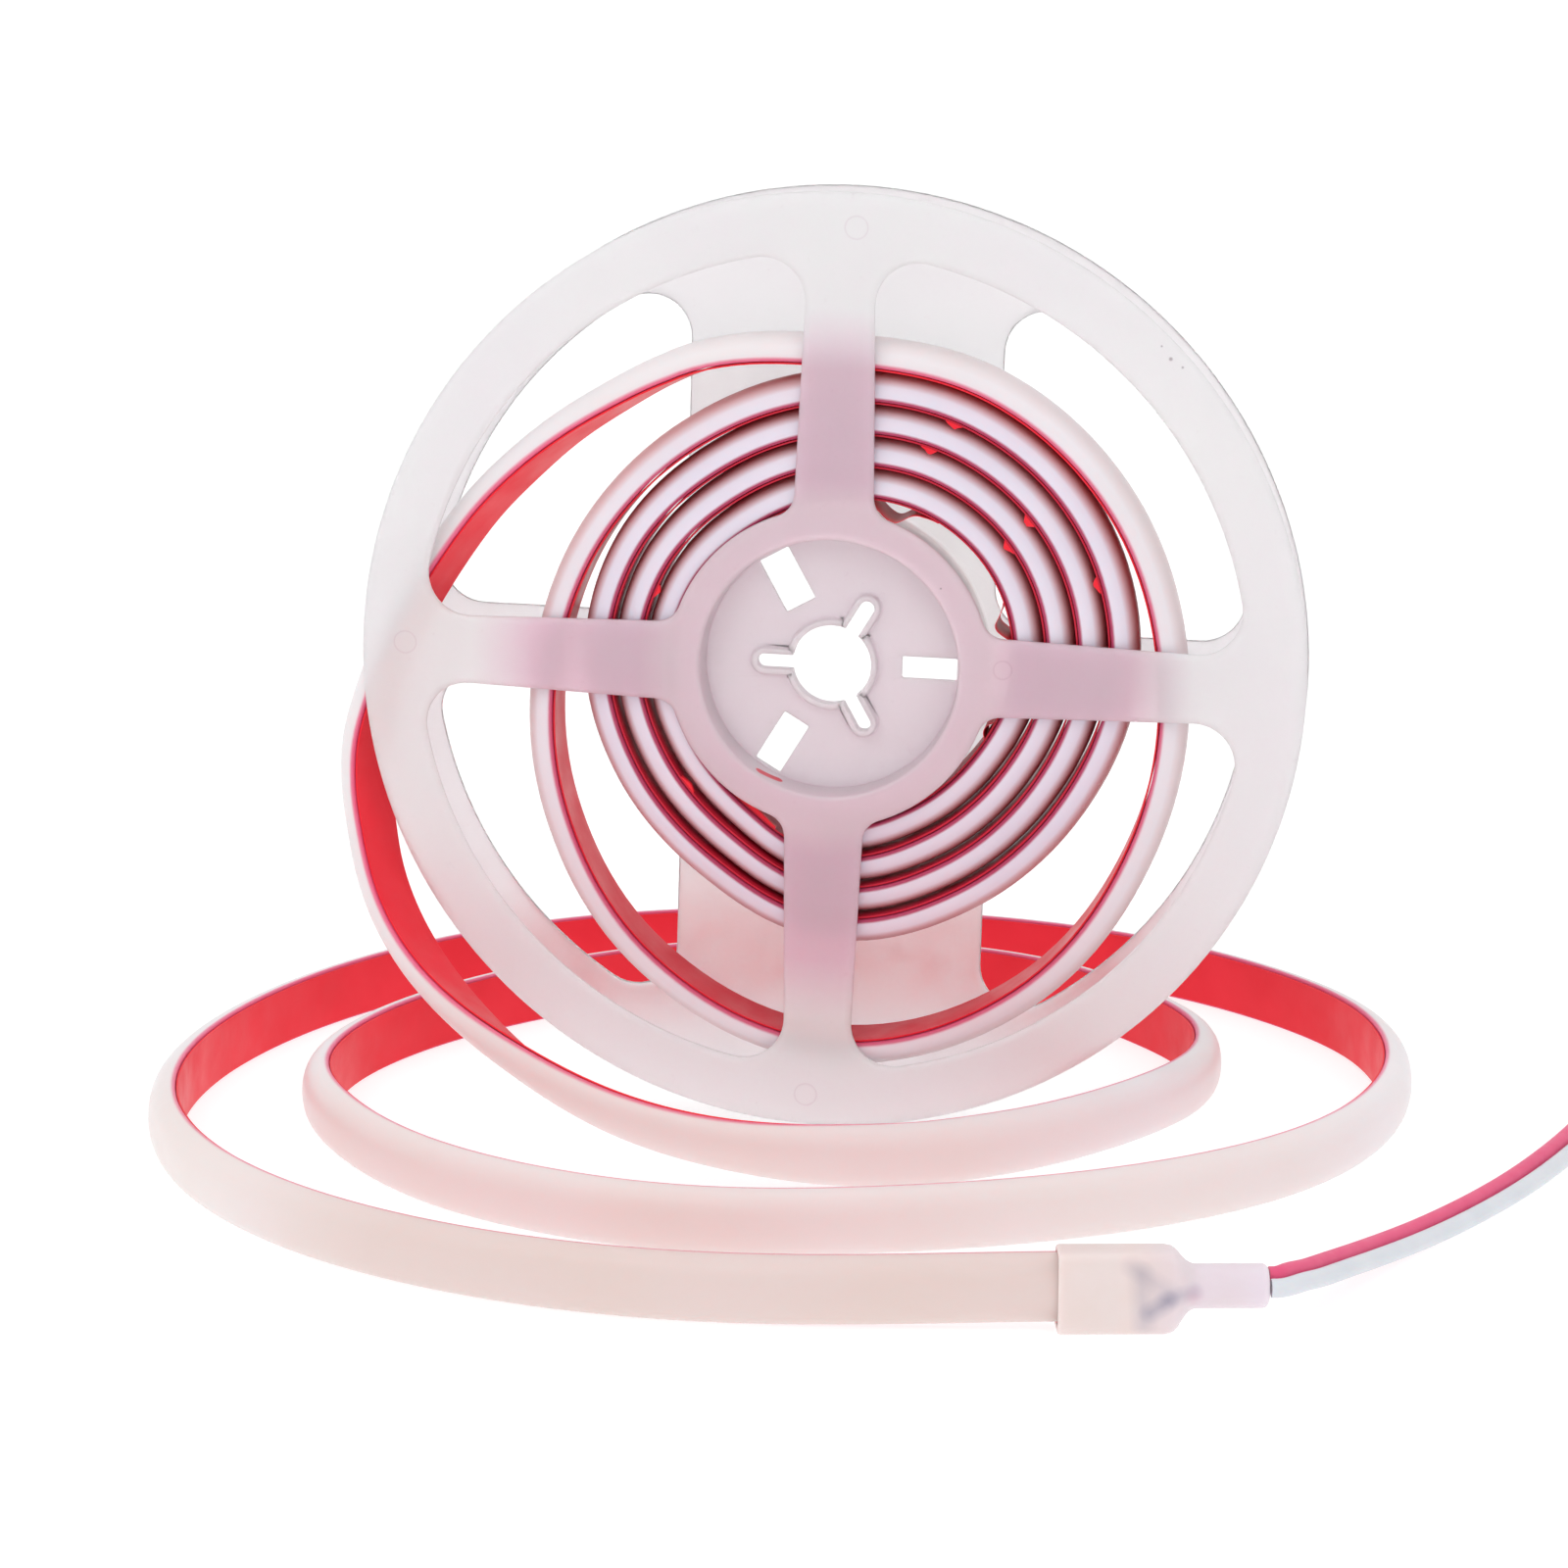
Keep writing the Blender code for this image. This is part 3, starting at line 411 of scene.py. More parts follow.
def lead_routes(nozzle_end, run):
    """Centrelines of the two cores, from the nozzle's mouth along the floor."""
    start = nozzle_end + run * LEAD_EXIT_GAP + np.array((0.0, 0.0, LEAD_EXIT_RISE))
    spacing = (CORE_DIAMETER + CORE_GAP) / 2
    tilts = np.linspace(LEAD_TILT_START, LEAD_TILT_END, len(LEAD_ROUTE))
    route = [start, start + run * LEAD_STRAIGHT, start + run * LEAD_STRAIGHT * 2]
    for (x, y, lowest), tilt in zip(LEAD_ROUTE, tilts):
        height = lowest * MM + CORE_DIAMETER / 2 + spacing * math.sin(math.radians(tilt))
        route.append(np.array((x * MM, y * MM, height)))
    fine = cubic_through(route, count=LEAD_STEPS * LEAD_FINE_STEPS + 1)
    heading = np.gradient(fine, axis=0)
    heading[0] = run
    heading[:, 2] = 0.0
    heading /= np.linalg.norm(heading, axis=1)[:, None]
    left = np.stack([-heading[:, 1], heading[:, 0], np.zeros(len(heading))], axis=1)
    rise = np.array((0.0, 0.0, 1.0))
    tilt = np.radians(np.linspace(LEAD_TILT_START, LEAD_TILT_END, len(fine)))[:, None]
    middle = fine[::LEAD_FINE_STEPS]
    offset = ((left * np.cos(tilt) + rise * np.sin(tilt)) * spacing)[::LEAD_FINE_STEPS]
    routes = []
    for way in (1, -1):
        places = middle + offset * way
        routes.append(np.insert(places, 1, places[0] + run * LEAD_STRAIGHT, axis=0))
    return routes


def tube_along(name, route, radius, sides=24):
    """Round tube along a route."""
    fine = cubic_through(route, spacing=ROUTE_SPACING)
    runs = np.gradient(fine, axis=0)
    runs /= np.linalg.norm(runs, axis=1)[:, None]
    side = np.cross(runs[0], (0.0, 0.0, 1.0))
    rings = []
    for place, run in zip(fine, runs):
        side = side - run * (side @ run)
        side /= np.linalg.norm(side)
        top = np.cross(side, run)
        ring = []
        for k in range(sides):
            angle = 2 * math.pi * k / sides
            ring.append(place + (side * math.cos(angle) + top * math.sin(angle)) * radius)
        rings.append(ring)
    return loft(name, rings)


# Materials


class Nodes:
    """Short way to build a node material."""

    def __init__(self, name):
        self.made = bpy.data.materials.new(name)
        self.made.use_nodes = True
        self.tree = self.made.node_tree
        self.shader = self.tree.nodes["Principled BSDF"]
        self.place = self.tree.nodes.new("ShaderNodeTexCoord").outputs["Object"]

    def put(self, **values):
        for name, value in values.items():
            self.shader.inputs[name.replace("_", " ")].default_value = value

    def link(self, source, socket):
        self.tree.links.new(source, socket)

    def fill(self, socket, value):
        """Links a socket to another node's output, or sets it to a value."""
        if isinstance(value, bpy.types.NodeSocket):
            self.link(value, socket)
        else:
            socket.default_value = value

    def paint(self, colour, grain, smooth, rough):
        """Links the colour, and a roughness that varies with a grain."""
        self.link(colour, self.shader.inputs["Base Color"])
        self.link(self.map(self.noise(grain), 0.3, 0.7, smooth, rough), self.shader.inputs["Roughness"])

    def noise(self, scale, detail=3.0, roughness=0.5):
        node = self.tree.nodes.new("ShaderNodeTexNoise")
        node.inputs["Scale"].default_value = scale
        node.inputs["Detail"].default_value = detail
        node.inputs["Roughness"].default_value = roughness
        self.link(self.place, node.inputs["Vector"])
        return node.outputs["Fac"]

    def value(self, key):
        node = self.tree.nodes.new("ShaderNodeAttribute")
        node.attribute_name = key
        return node.outputs["Fac"]

    def ramp(self, source, stops):
        node = self.tree.nodes.new("ShaderNodeValToRGB")
        self.link(source, node.inputs["Fac"])
        ramp = node.color_ramp
        while len(ramp.elements) < len(stops):
            ramp.elements.new(0.5)
        for element, (at, colour) in zip(ramp.elements, stops):
            element.position = at
            element.color = (*colour, 1.0)
        return node.outputs["Color"]

    def map(self, source, low, high, to_low, to_high):
        node = self.tree.nodes.new("ShaderNodeMapRange")
        for key, value in (("From Min", low), ("From Max", high), ("To Min", to_low), ("To Max", to_high)):
            node.inputs[key].default_value = value
        self.link(source, node.inputs["Value"])
        return node.outputs["Result"]

    def math(self, kind, first, second):
        node = self.tree.nodes.new("ShaderNodeMath")
        node.operation = kind
        for socket, value in zip(node.inputs, (first, second)):
            self.fill(socket, value)
        return node.outputs["Value"]

    def mix(self, share, first, second):
        node = self.tree.nodes.new("ShaderNodeMix")
        node.data_type = "RGBA"
        self.fill(node.inputs[0], share)
        for socket, value in ((node.inputs[6], first), (node.inputs[7], second)):
            self.fill(socket, (*value, 1.0) if isinstance(value, tuple) else value)
        return node.outputs[2]

    def bump(self, height, strength, distance):
        node = self.tree.nodes.new("ShaderNodeBump")
        node.inputs["Strength"].default_value = strength
        node.inputs["Distance"].default_value = distance
        self.link(height, node.inputs["Height"])
        self.link(node.outputs["Normal"], self.shader.inputs["Normal"])

    def vector(self, kind, first, second, output="Vector"):
        node = self.tree.nodes.new("ShaderNodeVectorMath")
        node.operation = kind
        for socket, value in zip(node.inputs, (first, second)):
            self.fill(socket, value)
        return node.outputs[output]

    def distance_to(self, point):
        return self.vector("DISTANCE", self.place, tuple(point), "Value")

    def from_axis(self):
        """Distance from the reel's axis."""
        flat = self.vector("MULTIPLY", self.place, (1.0, 0.0, 1.0))
        return self.vector("DISTANCE", flat, (0.0, 0.0, AXIS_HEIGHT), "Value")

    def from_line(self, start, end):
        """Distance from the straight line between two points."""
        start, end = Vector(start), Vector(end)
        run = end - start
        length = run.length
        gone = self.vector("SUBTRACT", self.place, tuple(start))
        along = self.vector("DOT_PRODUCT", gone, tuple(run / length), "Value")
        held = self.math("MINIMUM", self.math("MAXIMUM", along, 0.0), length)
        nearest = self.tree.nodes.new("ShaderNodeVectorMath")
        nearest.operation = "SCALE"
        nearest.inputs[0].default_value = tuple(run / length)
        self.link(held, nearest.inputs["Scale"])
        return self.vector("DISTANCE", gone, nearest.outputs["Vector"], "Value")

    def tinted(self, colour, tint, share=1.0):
        mixed = self.mix(share, colour, tint)
        mixed.node.blend_type = "MULTIPLY"
        return mixed


# Tints of the strip: by how far it lies to the front, a painted shade; and by the share of the way up its
# dome, the tape's red near the taped face and the coil's painted shade
# Painted shade: the strip darker and warmer the further to the front it lies
STRIP_FRONT_PAINTED_SHADE = (
    (0.0, (1.0, 1.0, 1.0)), (0.3, (1.0, 0.95, 0.92)),
    (0.64, (1.0, 0.95, 0.92)), (0.85, (0.92, 0.81, 0.76)),
)
FREE_GLOW = (
    (0.0, (0.92, 0.15, 0.30)), (0.09, (0.95, 0.30, 0.44)),
    (0.19, (1.0, 0.97, 0.98)), (0.3, (1.0, 1.0, 1.0)),
)
# Painted shade in the coil: the tape's red at the taped face darkened, and a dark warm valley near the
# dome's top, where the next turn shades it
COIL_PAINTED_SHADE = (
    (0.0, (0.56, 0.06, 0.14)), (0.09, (0.62, 0.10, 0.20)), (0.17, (1.0, 1.0, 1.0)),
    (0.56, (1.0, 1.0, 1.0)), (0.74, (0.84, 0.62, 0.60)), (0.90, (0.60, 0.30, 0.28)),
    (1.0, (0.52, 0.18, 0.18)),
)


def silicone_material():
    """Milky silicone: soft glow under a satin skin, faint mottling, and painted shade: a warm dark valley
    between turns, a darker lilac coil and a darker, warmer front.
    """
    m = Nodes("silicone")
    m.put(Roughness=0.42, Subsurface_Weight=1.0, Subsurface_Scale=0.0006, IOR=1.41, Specular_IOR_Level=0.35)
    m.put(Subsurface_Radius=(1.0, 0.7, 0.7))
    broad = m.noise(28.0, 2.0)
    free = m.ramp(broad, [(0.35, (0.82, 0.77, 0.775)), (0.65, (0.83, 0.785, 0.805))])
    # Painted shade: darker and warmer towards the front
    forward = m.vector("DOT_PRODUCT", m.place, (0.0, -1.0, 0.0), "Value")
    free = m.tinted(free, m.ramp(m.map(forward, 0.0, 120 * MM, 0.0, 1.0), STRIP_FRONT_PAINTED_SHADE))
    # Painted shade of the coil: a darker lilac copy of the silicone, with its dark valley
    inner = m.ramp(broad, [(0.35, (0.76, 0.71, 0.80)), (0.65, (0.80, 0.75, 0.83))])
    over = m.value("over")
    free = m.tinted(free, m.ramp(over, FREE_GLOW))
    inner = m.tinted(inner, m.ramp(over, COIL_PAINTED_SHADE))
    # The coil's painted shade is mixed in by how far the strip is wound there
    m.paint(m.mix(m.value("wound"), free, inner), 260.0, 0.30, 0.44)
    m.bump(m.noise(900.0, 4.0), 0.06, 0.0004)
    return m.made


def tape_material():
    """Bright red release liner over adhesive tape: a satin film with faint ripples, and painted shade that
    makes it darker and bluer in the coil.
    """
    m = Nodes("tape")
    m.put(Roughness=0.4, IOR=1.45, Specular_IOR_Level=0.3)
    broad = m.noise(60.0, 3.0)
    colour = m.ramp(broad, [(0.3, (0.83, 0.012, 0.028)), (0.7, (0.90, 0.02, 0.04))])
    # Painted shade: darker and bluer where the strip is wound in the coil
    m.paint(m.tinted(colour, (0.66, 0.8, 1.2), m.value("wound")), 140.0, 0.34, 0.5)
    m.bump(m.noise(220.0, 3.0), 0.12, 0.0006)
    return m.made


# Painted shade by distance from the axis as a share of 100 mm: web, disc over the drum, spokes over the
# coil, ring; darker in the sunk web and darker pink where the drum and coil lie behind
FRONT_REEL_PAINTED_SHADE = (
    (0.20, (0.88, 0.84, 0.86)), (0.236, (0.88, 0.83, 0.855)), (0.252, (1.0, 0.79, 0.85)),
    (0.31, (1.0, 0.79, 0.85)), (0.36, (0.92, 0.70, 0.79)), (0.56, (0.92, 0.72, 0.80)),
    (0.68, (1.0, 1.0, 1.0)), (1.0, (1.0, 0.99, 1.0)),
)
# Painted light on the rear half by distance from the axis as a share of 100 mm: lighter near the hub and
# over the coil, as if lit through from behind
BACK_REEL_PAINTED_LIGHT = (
    (0.28, (1.03, 1.06, 1.04)), (0.38, (1.0, 1.03, 1.02)),
    (0.62, (1.0, 1.03, 1.02)), (0.74, (1.0, 1.0, 1.0)),
)

# Marks on the front half, as X, Z and radius in millimetres: round ejector-pin marks, and dirt specks
PIN_MARKS = ((-3.9, 6.2, 2.1), (32.7, 89.9, 1.7), (-80.6, 92.0, 2.1), (4.8, 171.5, 2.1))
PIN_MARK_LINE = 0.25 * MM
SPECKS = (
    (62.6, 148.6, 0.45), (64.8, 147.1, 0.3), (60.9, 150.9, 0.25), (-70.5, 60.0, 0.3), (21.0, 105.0, 0.25),
)
# Both ends of the red sliver on the cup's wall, at the lower left hub window
RED_SLIVER = ((-13.1 * MM, 2.6 * MM, 68.6 * MM), (-9.9 * MM, 3.6 * MM, 66.9 * MM))


def reel_material(name, light_and_shade, marked, clearness, depth):
    """Milky moulded plastic that lets blurred light through, with faint flow marks, handling scuffs, and
    painted light and shade by distance from the axis.
    """
    m = Nodes(name)
    m.put(Roughness=0.42, IOR=1.46, Transmission_Weight=clearness)
    m.put(Subsurface_Weight=1.0, Subsurface_Scale=depth, Subsurface_Radius=(1.0, 0.9, 0.95))
    broad = m.noise(20.0, 3.0)
    colour = m.ramp(broad, [(0.3, (0.93, 0.885, 0.91)), (0.7, (0.96, 0.92, 0.94))])
    # Painted light and shade by distance from the axis
    away = m.map(m.from_axis(), 0.0, 0.1, 0.0, 1.0)
    colour = m.tinted(colour, m.ramp(away, light_and_shade))
    scuffs = m.map(m.noise(420.0, 6.0, 0.7), 0.62, 0.74, 0.0, 0.35)
    colour = m.tinted(colour, (0.84, 0.78, 0.80), scuffs)
    height = m.noise(700.0, 3.0)
    if marked:
        for x, z, radius in PIN_MARKS:
            past = m.math("SUBTRACT", m.distance_to((x * MM, 0.0, z * MM)), radius * MM)
            line = m.map(m.math("ABSOLUTE", past, 0.0), 0.0, PIN_MARK_LINE, 1.0, 0.0)
            colour = m.tinted(colour, (0.90, 0.86, 0.88), line)
            height = m.math("SUBTRACT", height, line)
        for x, z, radius in SPECKS:
            spot = m.map(m.distance_to((x * MM, 0.0, z * MM)), radius * 0.5 * MM, radius * MM, 0.75, 0.0)
            colour = m.tinted(colour, (0.42, 0.38, 0.40), spot)
        sliver = m.map(m.from_line(*RED_SLIVER), 0.8 * MM, 1.1 * MM, 1.0, 0.0)
        colour = m.tinted(colour, (0.98, 0.07, 0.11), sliver)
    m.paint(colour, 180.0, 0.36, 0.5)
    m.bump(height, 0.06, 0.0004)
    return m.made


# Tints along the end cap: warmer over the strip, cooler at the nozzle
CAP_TINTS = ((0.0, (1.0, 0.99, 0.97)), (0.35, (0.98, 0.98, 1.0)), (1.0, (0.97, 0.99, 1.08)))
# Wires in the end cap: both ends as places in it, how far the blur reaches in millimetres, and its strength
CAP_WIRES = (
    ((12.0, -5.2, 6.4), (18.8, -0.4, 6.4), 2.2, 0.26),
    ((15.2, 2.8, 6.4), (18.2, 0.9, 6.4), 2.2, 0.60),
    ((17.5, 0.6, 6.4), (22.6, -0.3, 5.2), 2.0, 0.42),
    ((13.6, -3.8, 6.4), (14.2, 5.0, 6.4), 2.6, 0.34),
)


def cap_material(at, at_run):
    """Milky moulded silicone of the end cap. The wires inside show through as blurred grey lines."""
    m = Nodes("cap")
    m.put(Roughness=0.38, IOR=1.41, Subsurface_Weight=1.0, Subsurface_Scale=0.0012)
    m.put(Subsurface_Radius=(1.0, 0.85, 0.9))
    broad = m.noise(90.0, 3.0)
    colour = m.ramp(broad, [(0.3, (0.79, 0.68, 0.66)), (0.7, (0.81, 0.71, 0.71))])
    along = m.vector("DOT_PRODUCT", m.vector("SUBTRACT", m.place, at(0.0, 0.0, 0.0)), at_run, "Value")
    colour = m.tinted(colour, m.ramp(m.map(along, 12.0 * MM, 24.0 * MM, 0.0, 1.0), CAP_TINTS))
    for start, end, reach, strength in CAP_WIRES:
        near = m.map(m.from_line(at(*start), at(*end)), 0.1 * MM, reach * MM, strength, 0.0)
        colour = m.tinted(colour, (0.50, 0.53, 0.66), near)
    rosy = m.map(m.distance_to(at(22.5, 0.6, 4.6)), 0.2 * MM, 2.2 * MM, 0.35, 0.0)
    colour = m.tinted(colour, (0.92, 0.62, 0.70), rosy)
    m.paint(colour, 300.0, 0.3, 0.44)
    m.bump(m.noise(600.0, 3.0), 0.08, 0.0004)
    return m.made


def core_material(name, low, high):
    m = Nodes(name)
    m.put(Roughness=0.42, IOR=1.5, Subsurface_Weight=0.15, Subsurface_Scale=0.0008)
    m.paint(m.ramp(m.noise(120.0), [(0.3, low), (0.7, high)]), 400.0, 0.36, 0.5)
    m.bump(m.noise(1500.0, 3.0), 0.08, 0.0002)
    return m.made


def metal_material():
    m = Nodes("tinned_copper")
    m.put(Metallic=1.0, Roughness=0.35)
    colour = m.ramp(m.noise(900.0), [(0.3, (0.55, 0.55, 0.56)), (0.7, (0.72, 0.71, 0.70))])
    m.paint(colour, 1500.0, 0.25, 0.45)
    return m.made


def finish_piece(obj, material, slot, *nodes):
    """Gives a piece its material and body, and hides the solids that it stands for. The slot is not used."""
    obj.data.materials.append(material)
    if nodes:
        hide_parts(*nodes)
    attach(obj, "root")
    return obj


# Peeled tape, as first and last angle, turn, first and last distance forward of the strip's middle, and how
# far it hangs in from its turn at even steps between
PEELS = (
    (54.0, 78.0, 0, -5.4, 5.4, (0.0, 0.3, 1.0, 3.3, 3.0, 1.6, 0.1)),
    (8.0, 22.0, 0, -5.4, 5.4, (0.0, 0.3, 1.5, 2.4, 2.5, 1.6, 0.7, 0.0)),
    (-24.0, -17.0, 0, -5.4, 5.4, (0.0, 0.8, 0.9, 0.0)),
    (62.0, 65.6, 3, 4.3, 5.5, (0.0, 0.3, 0.8, 0.7, 0.5, 0.3, 0.0)),
    (64.4, 68.4, 2, 4.3, 5.5, (0.0, 0.6, 0.9, 0.8, 0.4, 0.2, 0.0)),
    (36.0, 39.4, 2, 4.3, 5.5, (0.0, 0.5, 1.0, 0.9, 0.9, 0.5, 0.0)),
    (33.2, 37.4, 1, 4.3, 5.5, (0.0, 0.2, 0.5, 0.8, 0.9, 0.5, 0.0)),
    (17.0, 20.4, 3, 4.3, 5.5, (0.0, 0.3, 0.5, 0.8, 0.8, 0.5, 0.0)),
    (155.5, 159.5, 1, 4.3, 5.5, (0.0, 0.3, 0.5, 0.6, 0.4, 0.2, 0.0)),
    (218.0, 224.0, 1, 4.3, 5.5, (0.0, 0.2, 0.4, 0.5, 0.3, 0.0)),
    (233.0, 252.0, 0, 4.3, 5.5, (0.0, 0.4, 0.6, 0.6, 0.5, 0.3)),
)
PEEL_STEPS = 40
# In millimetres, as the depths are
PEEL_GAP = 0.03
PEEL_THICKNESS = 0.14


def make_peels():
    """Loose waves of red liner under the innermost turn, and small curls of it at the front edge."""
    bm = bmesh.new()
    for low, high, turn, far, close, depths in PEELS:
        rings = []
        for k in range(PEEL_STEPS + 1):
            share = k / PEEL_STEPS
            degrees = low + (high - low) * share
            dip = max(0.0, between(depths, share * (len(depths) - 1)))
            taped = coil_radius((degrees + 90.0) % 360.0 + 360.0 * turn) - TAPE_DEPTH
            radius = taped - (PEEL_GAP + dip) * MM
            ring = []
            # A wave is a thin sheet, while a curl is filled up to its turn
            thick = PEEL_THICKNESS if far < 0.0 else PEEL_THICKNESS + dip
            radius += (thick - PEEL_THICKNESS) * MM
            for forward, lower in ((far, 0.0), (close, 0.0), (close, thick), (far, thick)):
                ring.append(bm.verts.new(on_reel(degrees, radius - lower * MM, forward * MM)))
            rings.append(ring)
        skin(bm, rings)
        bm.faces.new(rings[0])
        bm.faces.new(rings[-1])
    return add_mesh("peeled_tape", bm, 60.0)


# Reel outlines

FILLET_STEPS = 12
ROOT_FILLET_STEPS = 10
RING_ARC_STEPS = 40
HUB_ARC_STEPS = 16
KEYWAY_STEPS = 8
BORE_ARC_STEPS = 18
CIRCLE_STEPS = 180
HUB_WINDOW_CORNER = 0.35 * MM
HUB_WINDOW_CORNER_STEPS = 3


def unit(angle):
    return Vector((math.cos(angle), math.sin(angle)))


def spoke_edges(centre_angle, root_width, tip_width):
    """Both edges of a spoke, each as its start, its direction and the way into the window beside it."""
    along = unit(centre_angle)
    left = unit(centre_angle + math.pi / 2)
    edges = []
    for way in (-1, 1):
        start = along * HUB_DISC_RADIUS + left * way * root_width / 2
        end = along * (REEL_RADIUS - RING_WIDTH) + left * way * tip_width / 2
        run = (end - start).normalized()
        edges.append((start, run, Vector((-run.y, run.x)) * way))
    return edges


def rounded_with_circle(edge, circle, fillet, outside):
    """Fillet between an edge and a circle round the axis: its centre and its two ends."""
    start, run, into = edge
    reach = circle + fillet if outside else circle - fillet
    base = start + into * fillet
    middle = base.dot(run)
    centre = base + run * (-middle + math.sqrt(middle**2 - base.length_squared + reach**2))
    return centre, centre - into * fillet, centre * (circle / reach)


def rounded_between(first, second, fillet):
    """Fillet between two edges: its centre and its two ends."""
    a, run_a, into_a = first
    b, run_b, into_b = second
    base_a = a + into_a * fillet
    gap = b + into_b * fillet - base_a
    turn = run_a.x * run_b.y - run_a.y * run_b.x
    centre = base_a + run_a * ((gap.x * run_b.y - gap.y * run_b.x) / turn)
    return centre, centre - into_a * fillet, centre - into_b * fillet


def arc_points(centre, start, end, steps):
    first = (start - centre).angle_signed(Vector((1, 0)))
    turn = (end - centre).angle_signed(start - centre)
    radius = (start - centre).length
    return [centre + unit(first + turn * k / steps) * radius for k in range(steps + 1)]


def window_between(low_edge, high_edge, root_corner):
    """Outline of a flange window, counterclockwise: root corner, low edge, ring, high edge."""
    ring = REEL_RADIUS - RING_WIDTH
    low_centre, low_edge_end, low_ring = rounded_with_circle(low_edge, ring, WINDOW_OUTER_FILLET, False)
    high_centre, high_edge_end, high_ring = rounded_with_circle(high_edge, ring, WINDOW_OUTER_FILLET, False)
    outline = list(root_corner)
    outline += arc_points(low_centre, low_edge_end, low_ring, FILLET_STEPS)
    outline += arc_points(Vector((0, 0)), low_ring, high_ring, RING_ARC_STEPS)[1:-1]
    outline += arc_points(high_centre, high_ring, high_edge_end, FILLET_STEPS)
    return outline


def front_windows():
    outlines = []
    for k in range(4):
        low_angle = REEL_TURN + k * math.pi / 2
        low = spoke_edges(low_angle, SPOKE_ROOT_WIDTH, SPOKE_TIP_WIDTH)[1]
        high = spoke_edges(low_angle + math.pi / 2, SPOKE_ROOT_WIDTH, SPOKE_TIP_WIDTH)[0]
        low_c, low_e, low_hub = rounded_with_circle(low, HUB_DISC_RADIUS, WINDOW_INNER_FILLET, True)
        high_c, high_e, high_hub = rounded_with_circle(high, HUB_DISC_RADIUS, WINDOW_INNER_FILLET, True)
        root = arc_points(high_c, high_e, high_hub, ROOT_FILLET_STEPS)
        root += arc_points(Vector((0, 0)), high_hub, low_hub, HUB_ARC_STEPS)[1:-1]
        root += arc_points(low_c, low_hub, low_e, ROOT_FILLET_STEPS)
        outlines.append(window_between(low, high, root))
    return outlines


def back_windows():
    outlines = []
    for k in range(4):
        low_angle = REEL_TURN + k * math.pi / 2
        low_width = BACK_SPOKE_WIDTH if k % 2 == 0 else BACK_PANEL_WIDTH
        high_width = BACK_PANEL_WIDTH if k % 2 == 0 else BACK_SPOKE_WIDTH
        low = spoke_edges(low_angle, low_width, low_width)[1]
        high = spoke_edges(low_angle + math.pi / 2, high_width, high_width)[0]
        centre, low_point, high_point = rounded_between(low, high, WINDOW_OUTER_FILLET)
        root = arc_points(centre, high_point, low_point, FILLET_STEPS)
        outlines.append(window_between(low, high, root))
    return outlines


def bore_outline(grow):
    """The bore with its three keyways, counterclockwise."""
    half = KEYWAY_WIDTH / 2 + grow
    radius = BORE_RADIUS + grow
    spread = math.asin(half / radius)
    outline = []
    for k in range(3):
        keyway = REEL_TURN + (2 * k + 1) * math.pi / 3
        centre = unit(keyway) * (KEYWAY_REACH - KEYWAY_WIDTH / 2)
        for step in range(-KEYWAY_STEPS, KEYWAY_STEPS + 1):
            outline.append(centre + unit(keyway + math.pi / 2 * step / KEYWAY_STEPS) * half)
        sector = 2 * math.pi / 3 - 2 * spread
        for step in range(BORE_ARC_STEPS + 1):
            outline.append(unit(keyway + spread + sector * step / BORE_ARC_STEPS) * radius)
    return outline


def circle_outline(radius):
    return [unit(2 * math.pi * k / CIRCLE_STEPS) * radius for k in range(CIRCLE_STEPS)]


def hub_windows():
    outlines = []
    for k, (inner, outer, width) in enumerate(HUB_WINDOWS):
        along = unit(REEL_TURN + k * 2 * math.pi / 3)
        left = Vector((-along.y, along.x)) * width / 2 * MM
        near = along * inner * MM
        far = along * outer * MM
        corners = [near - left, far - left, far + left, near + left]
        outlines.append(rounded_corners(corners, HUB_WINDOW_CORNER))
    return outlines


def rounded_corners(corners, radius):
    """Convex outline with small rounded corners."""
    found = []
    count = len(corners)
    for k in range(count):
        before = (corners[k - 1] - corners[k]).normalized()
        after = (corners[(k + 1) % count] - corners[k]).normalized()
        for step in range(HUB_WINDOW_CORNER_STEPS + 1):
            t = step / HUB_WINDOW_CORNER_STEPS
            found.append(corners[k] + before * radius * (1 - t) ** 2 + after * radius * t**2)
    return found


def moved_out(outline, distance):
    """Each point moved square to the outline, away from the inside of a counterclockwise one."""
    found = []
    count = len(outline)
    for k in range(count):
        run = (outline[(k + 1) % count] - outline[k - 1]).normalized()
        found.append(outline[k] + Vector((run.y, -run.x)) * distance)
    return found


def signed_area(outline):
    return sum(a.x * b.y - a.y * b.x for a, b in zip(outline, outline[1:] + outline[:1])) / 2


def ring_of(bm, outline, depth):
    return [bm.verts.new((p.x, depth, AXIS_HEIGHT + p.y)) for p in outline]


def skin(bm, rings):
    """Faces between each ring and the next one."""
    for ring, following in zip(rings, rings[1:]):
        for k in range(len(ring)):
            after = (k + 1) % len(ring)
            bm.faces.new((ring[k], ring[after], following[after], following[k]))


def flat_between(bm, rings):
    """Flat face between an outer ring and the holes in it."""
    flat = [v for ring in rings for v in ring]
    outlines = [[Vector((v.co.x, v.co.z, 0.0)) / MM for v in ring] for ring in rings]
    for corners in tessellate_polygon(outlines):
        bm.faces.new([flat[i] for i in corners])


# Roundings in millimetres, as distance in from the edge and depth below the face: window edges, the rim,
# the hub windows, and the far side of every hole
EDGE_ROUND = ((1.35, 0.0), (0.85, 0.07), (0.42, 0.22), (0.12, 0.42), (0.0, 0.68))
RIM_ROUND = ((2.7, 0.0), (1.7, 0.09), (0.9, 0.27), (0.3, 0.55), (0.0, 0.95))
SMALL_ROUND = ((0.12, 0.0), (0.04, 0.04), (0.0, 0.12))
FAR_ROUND = ((0.0, 0.2), (0.07, 0.07), (0.22, 0.0))


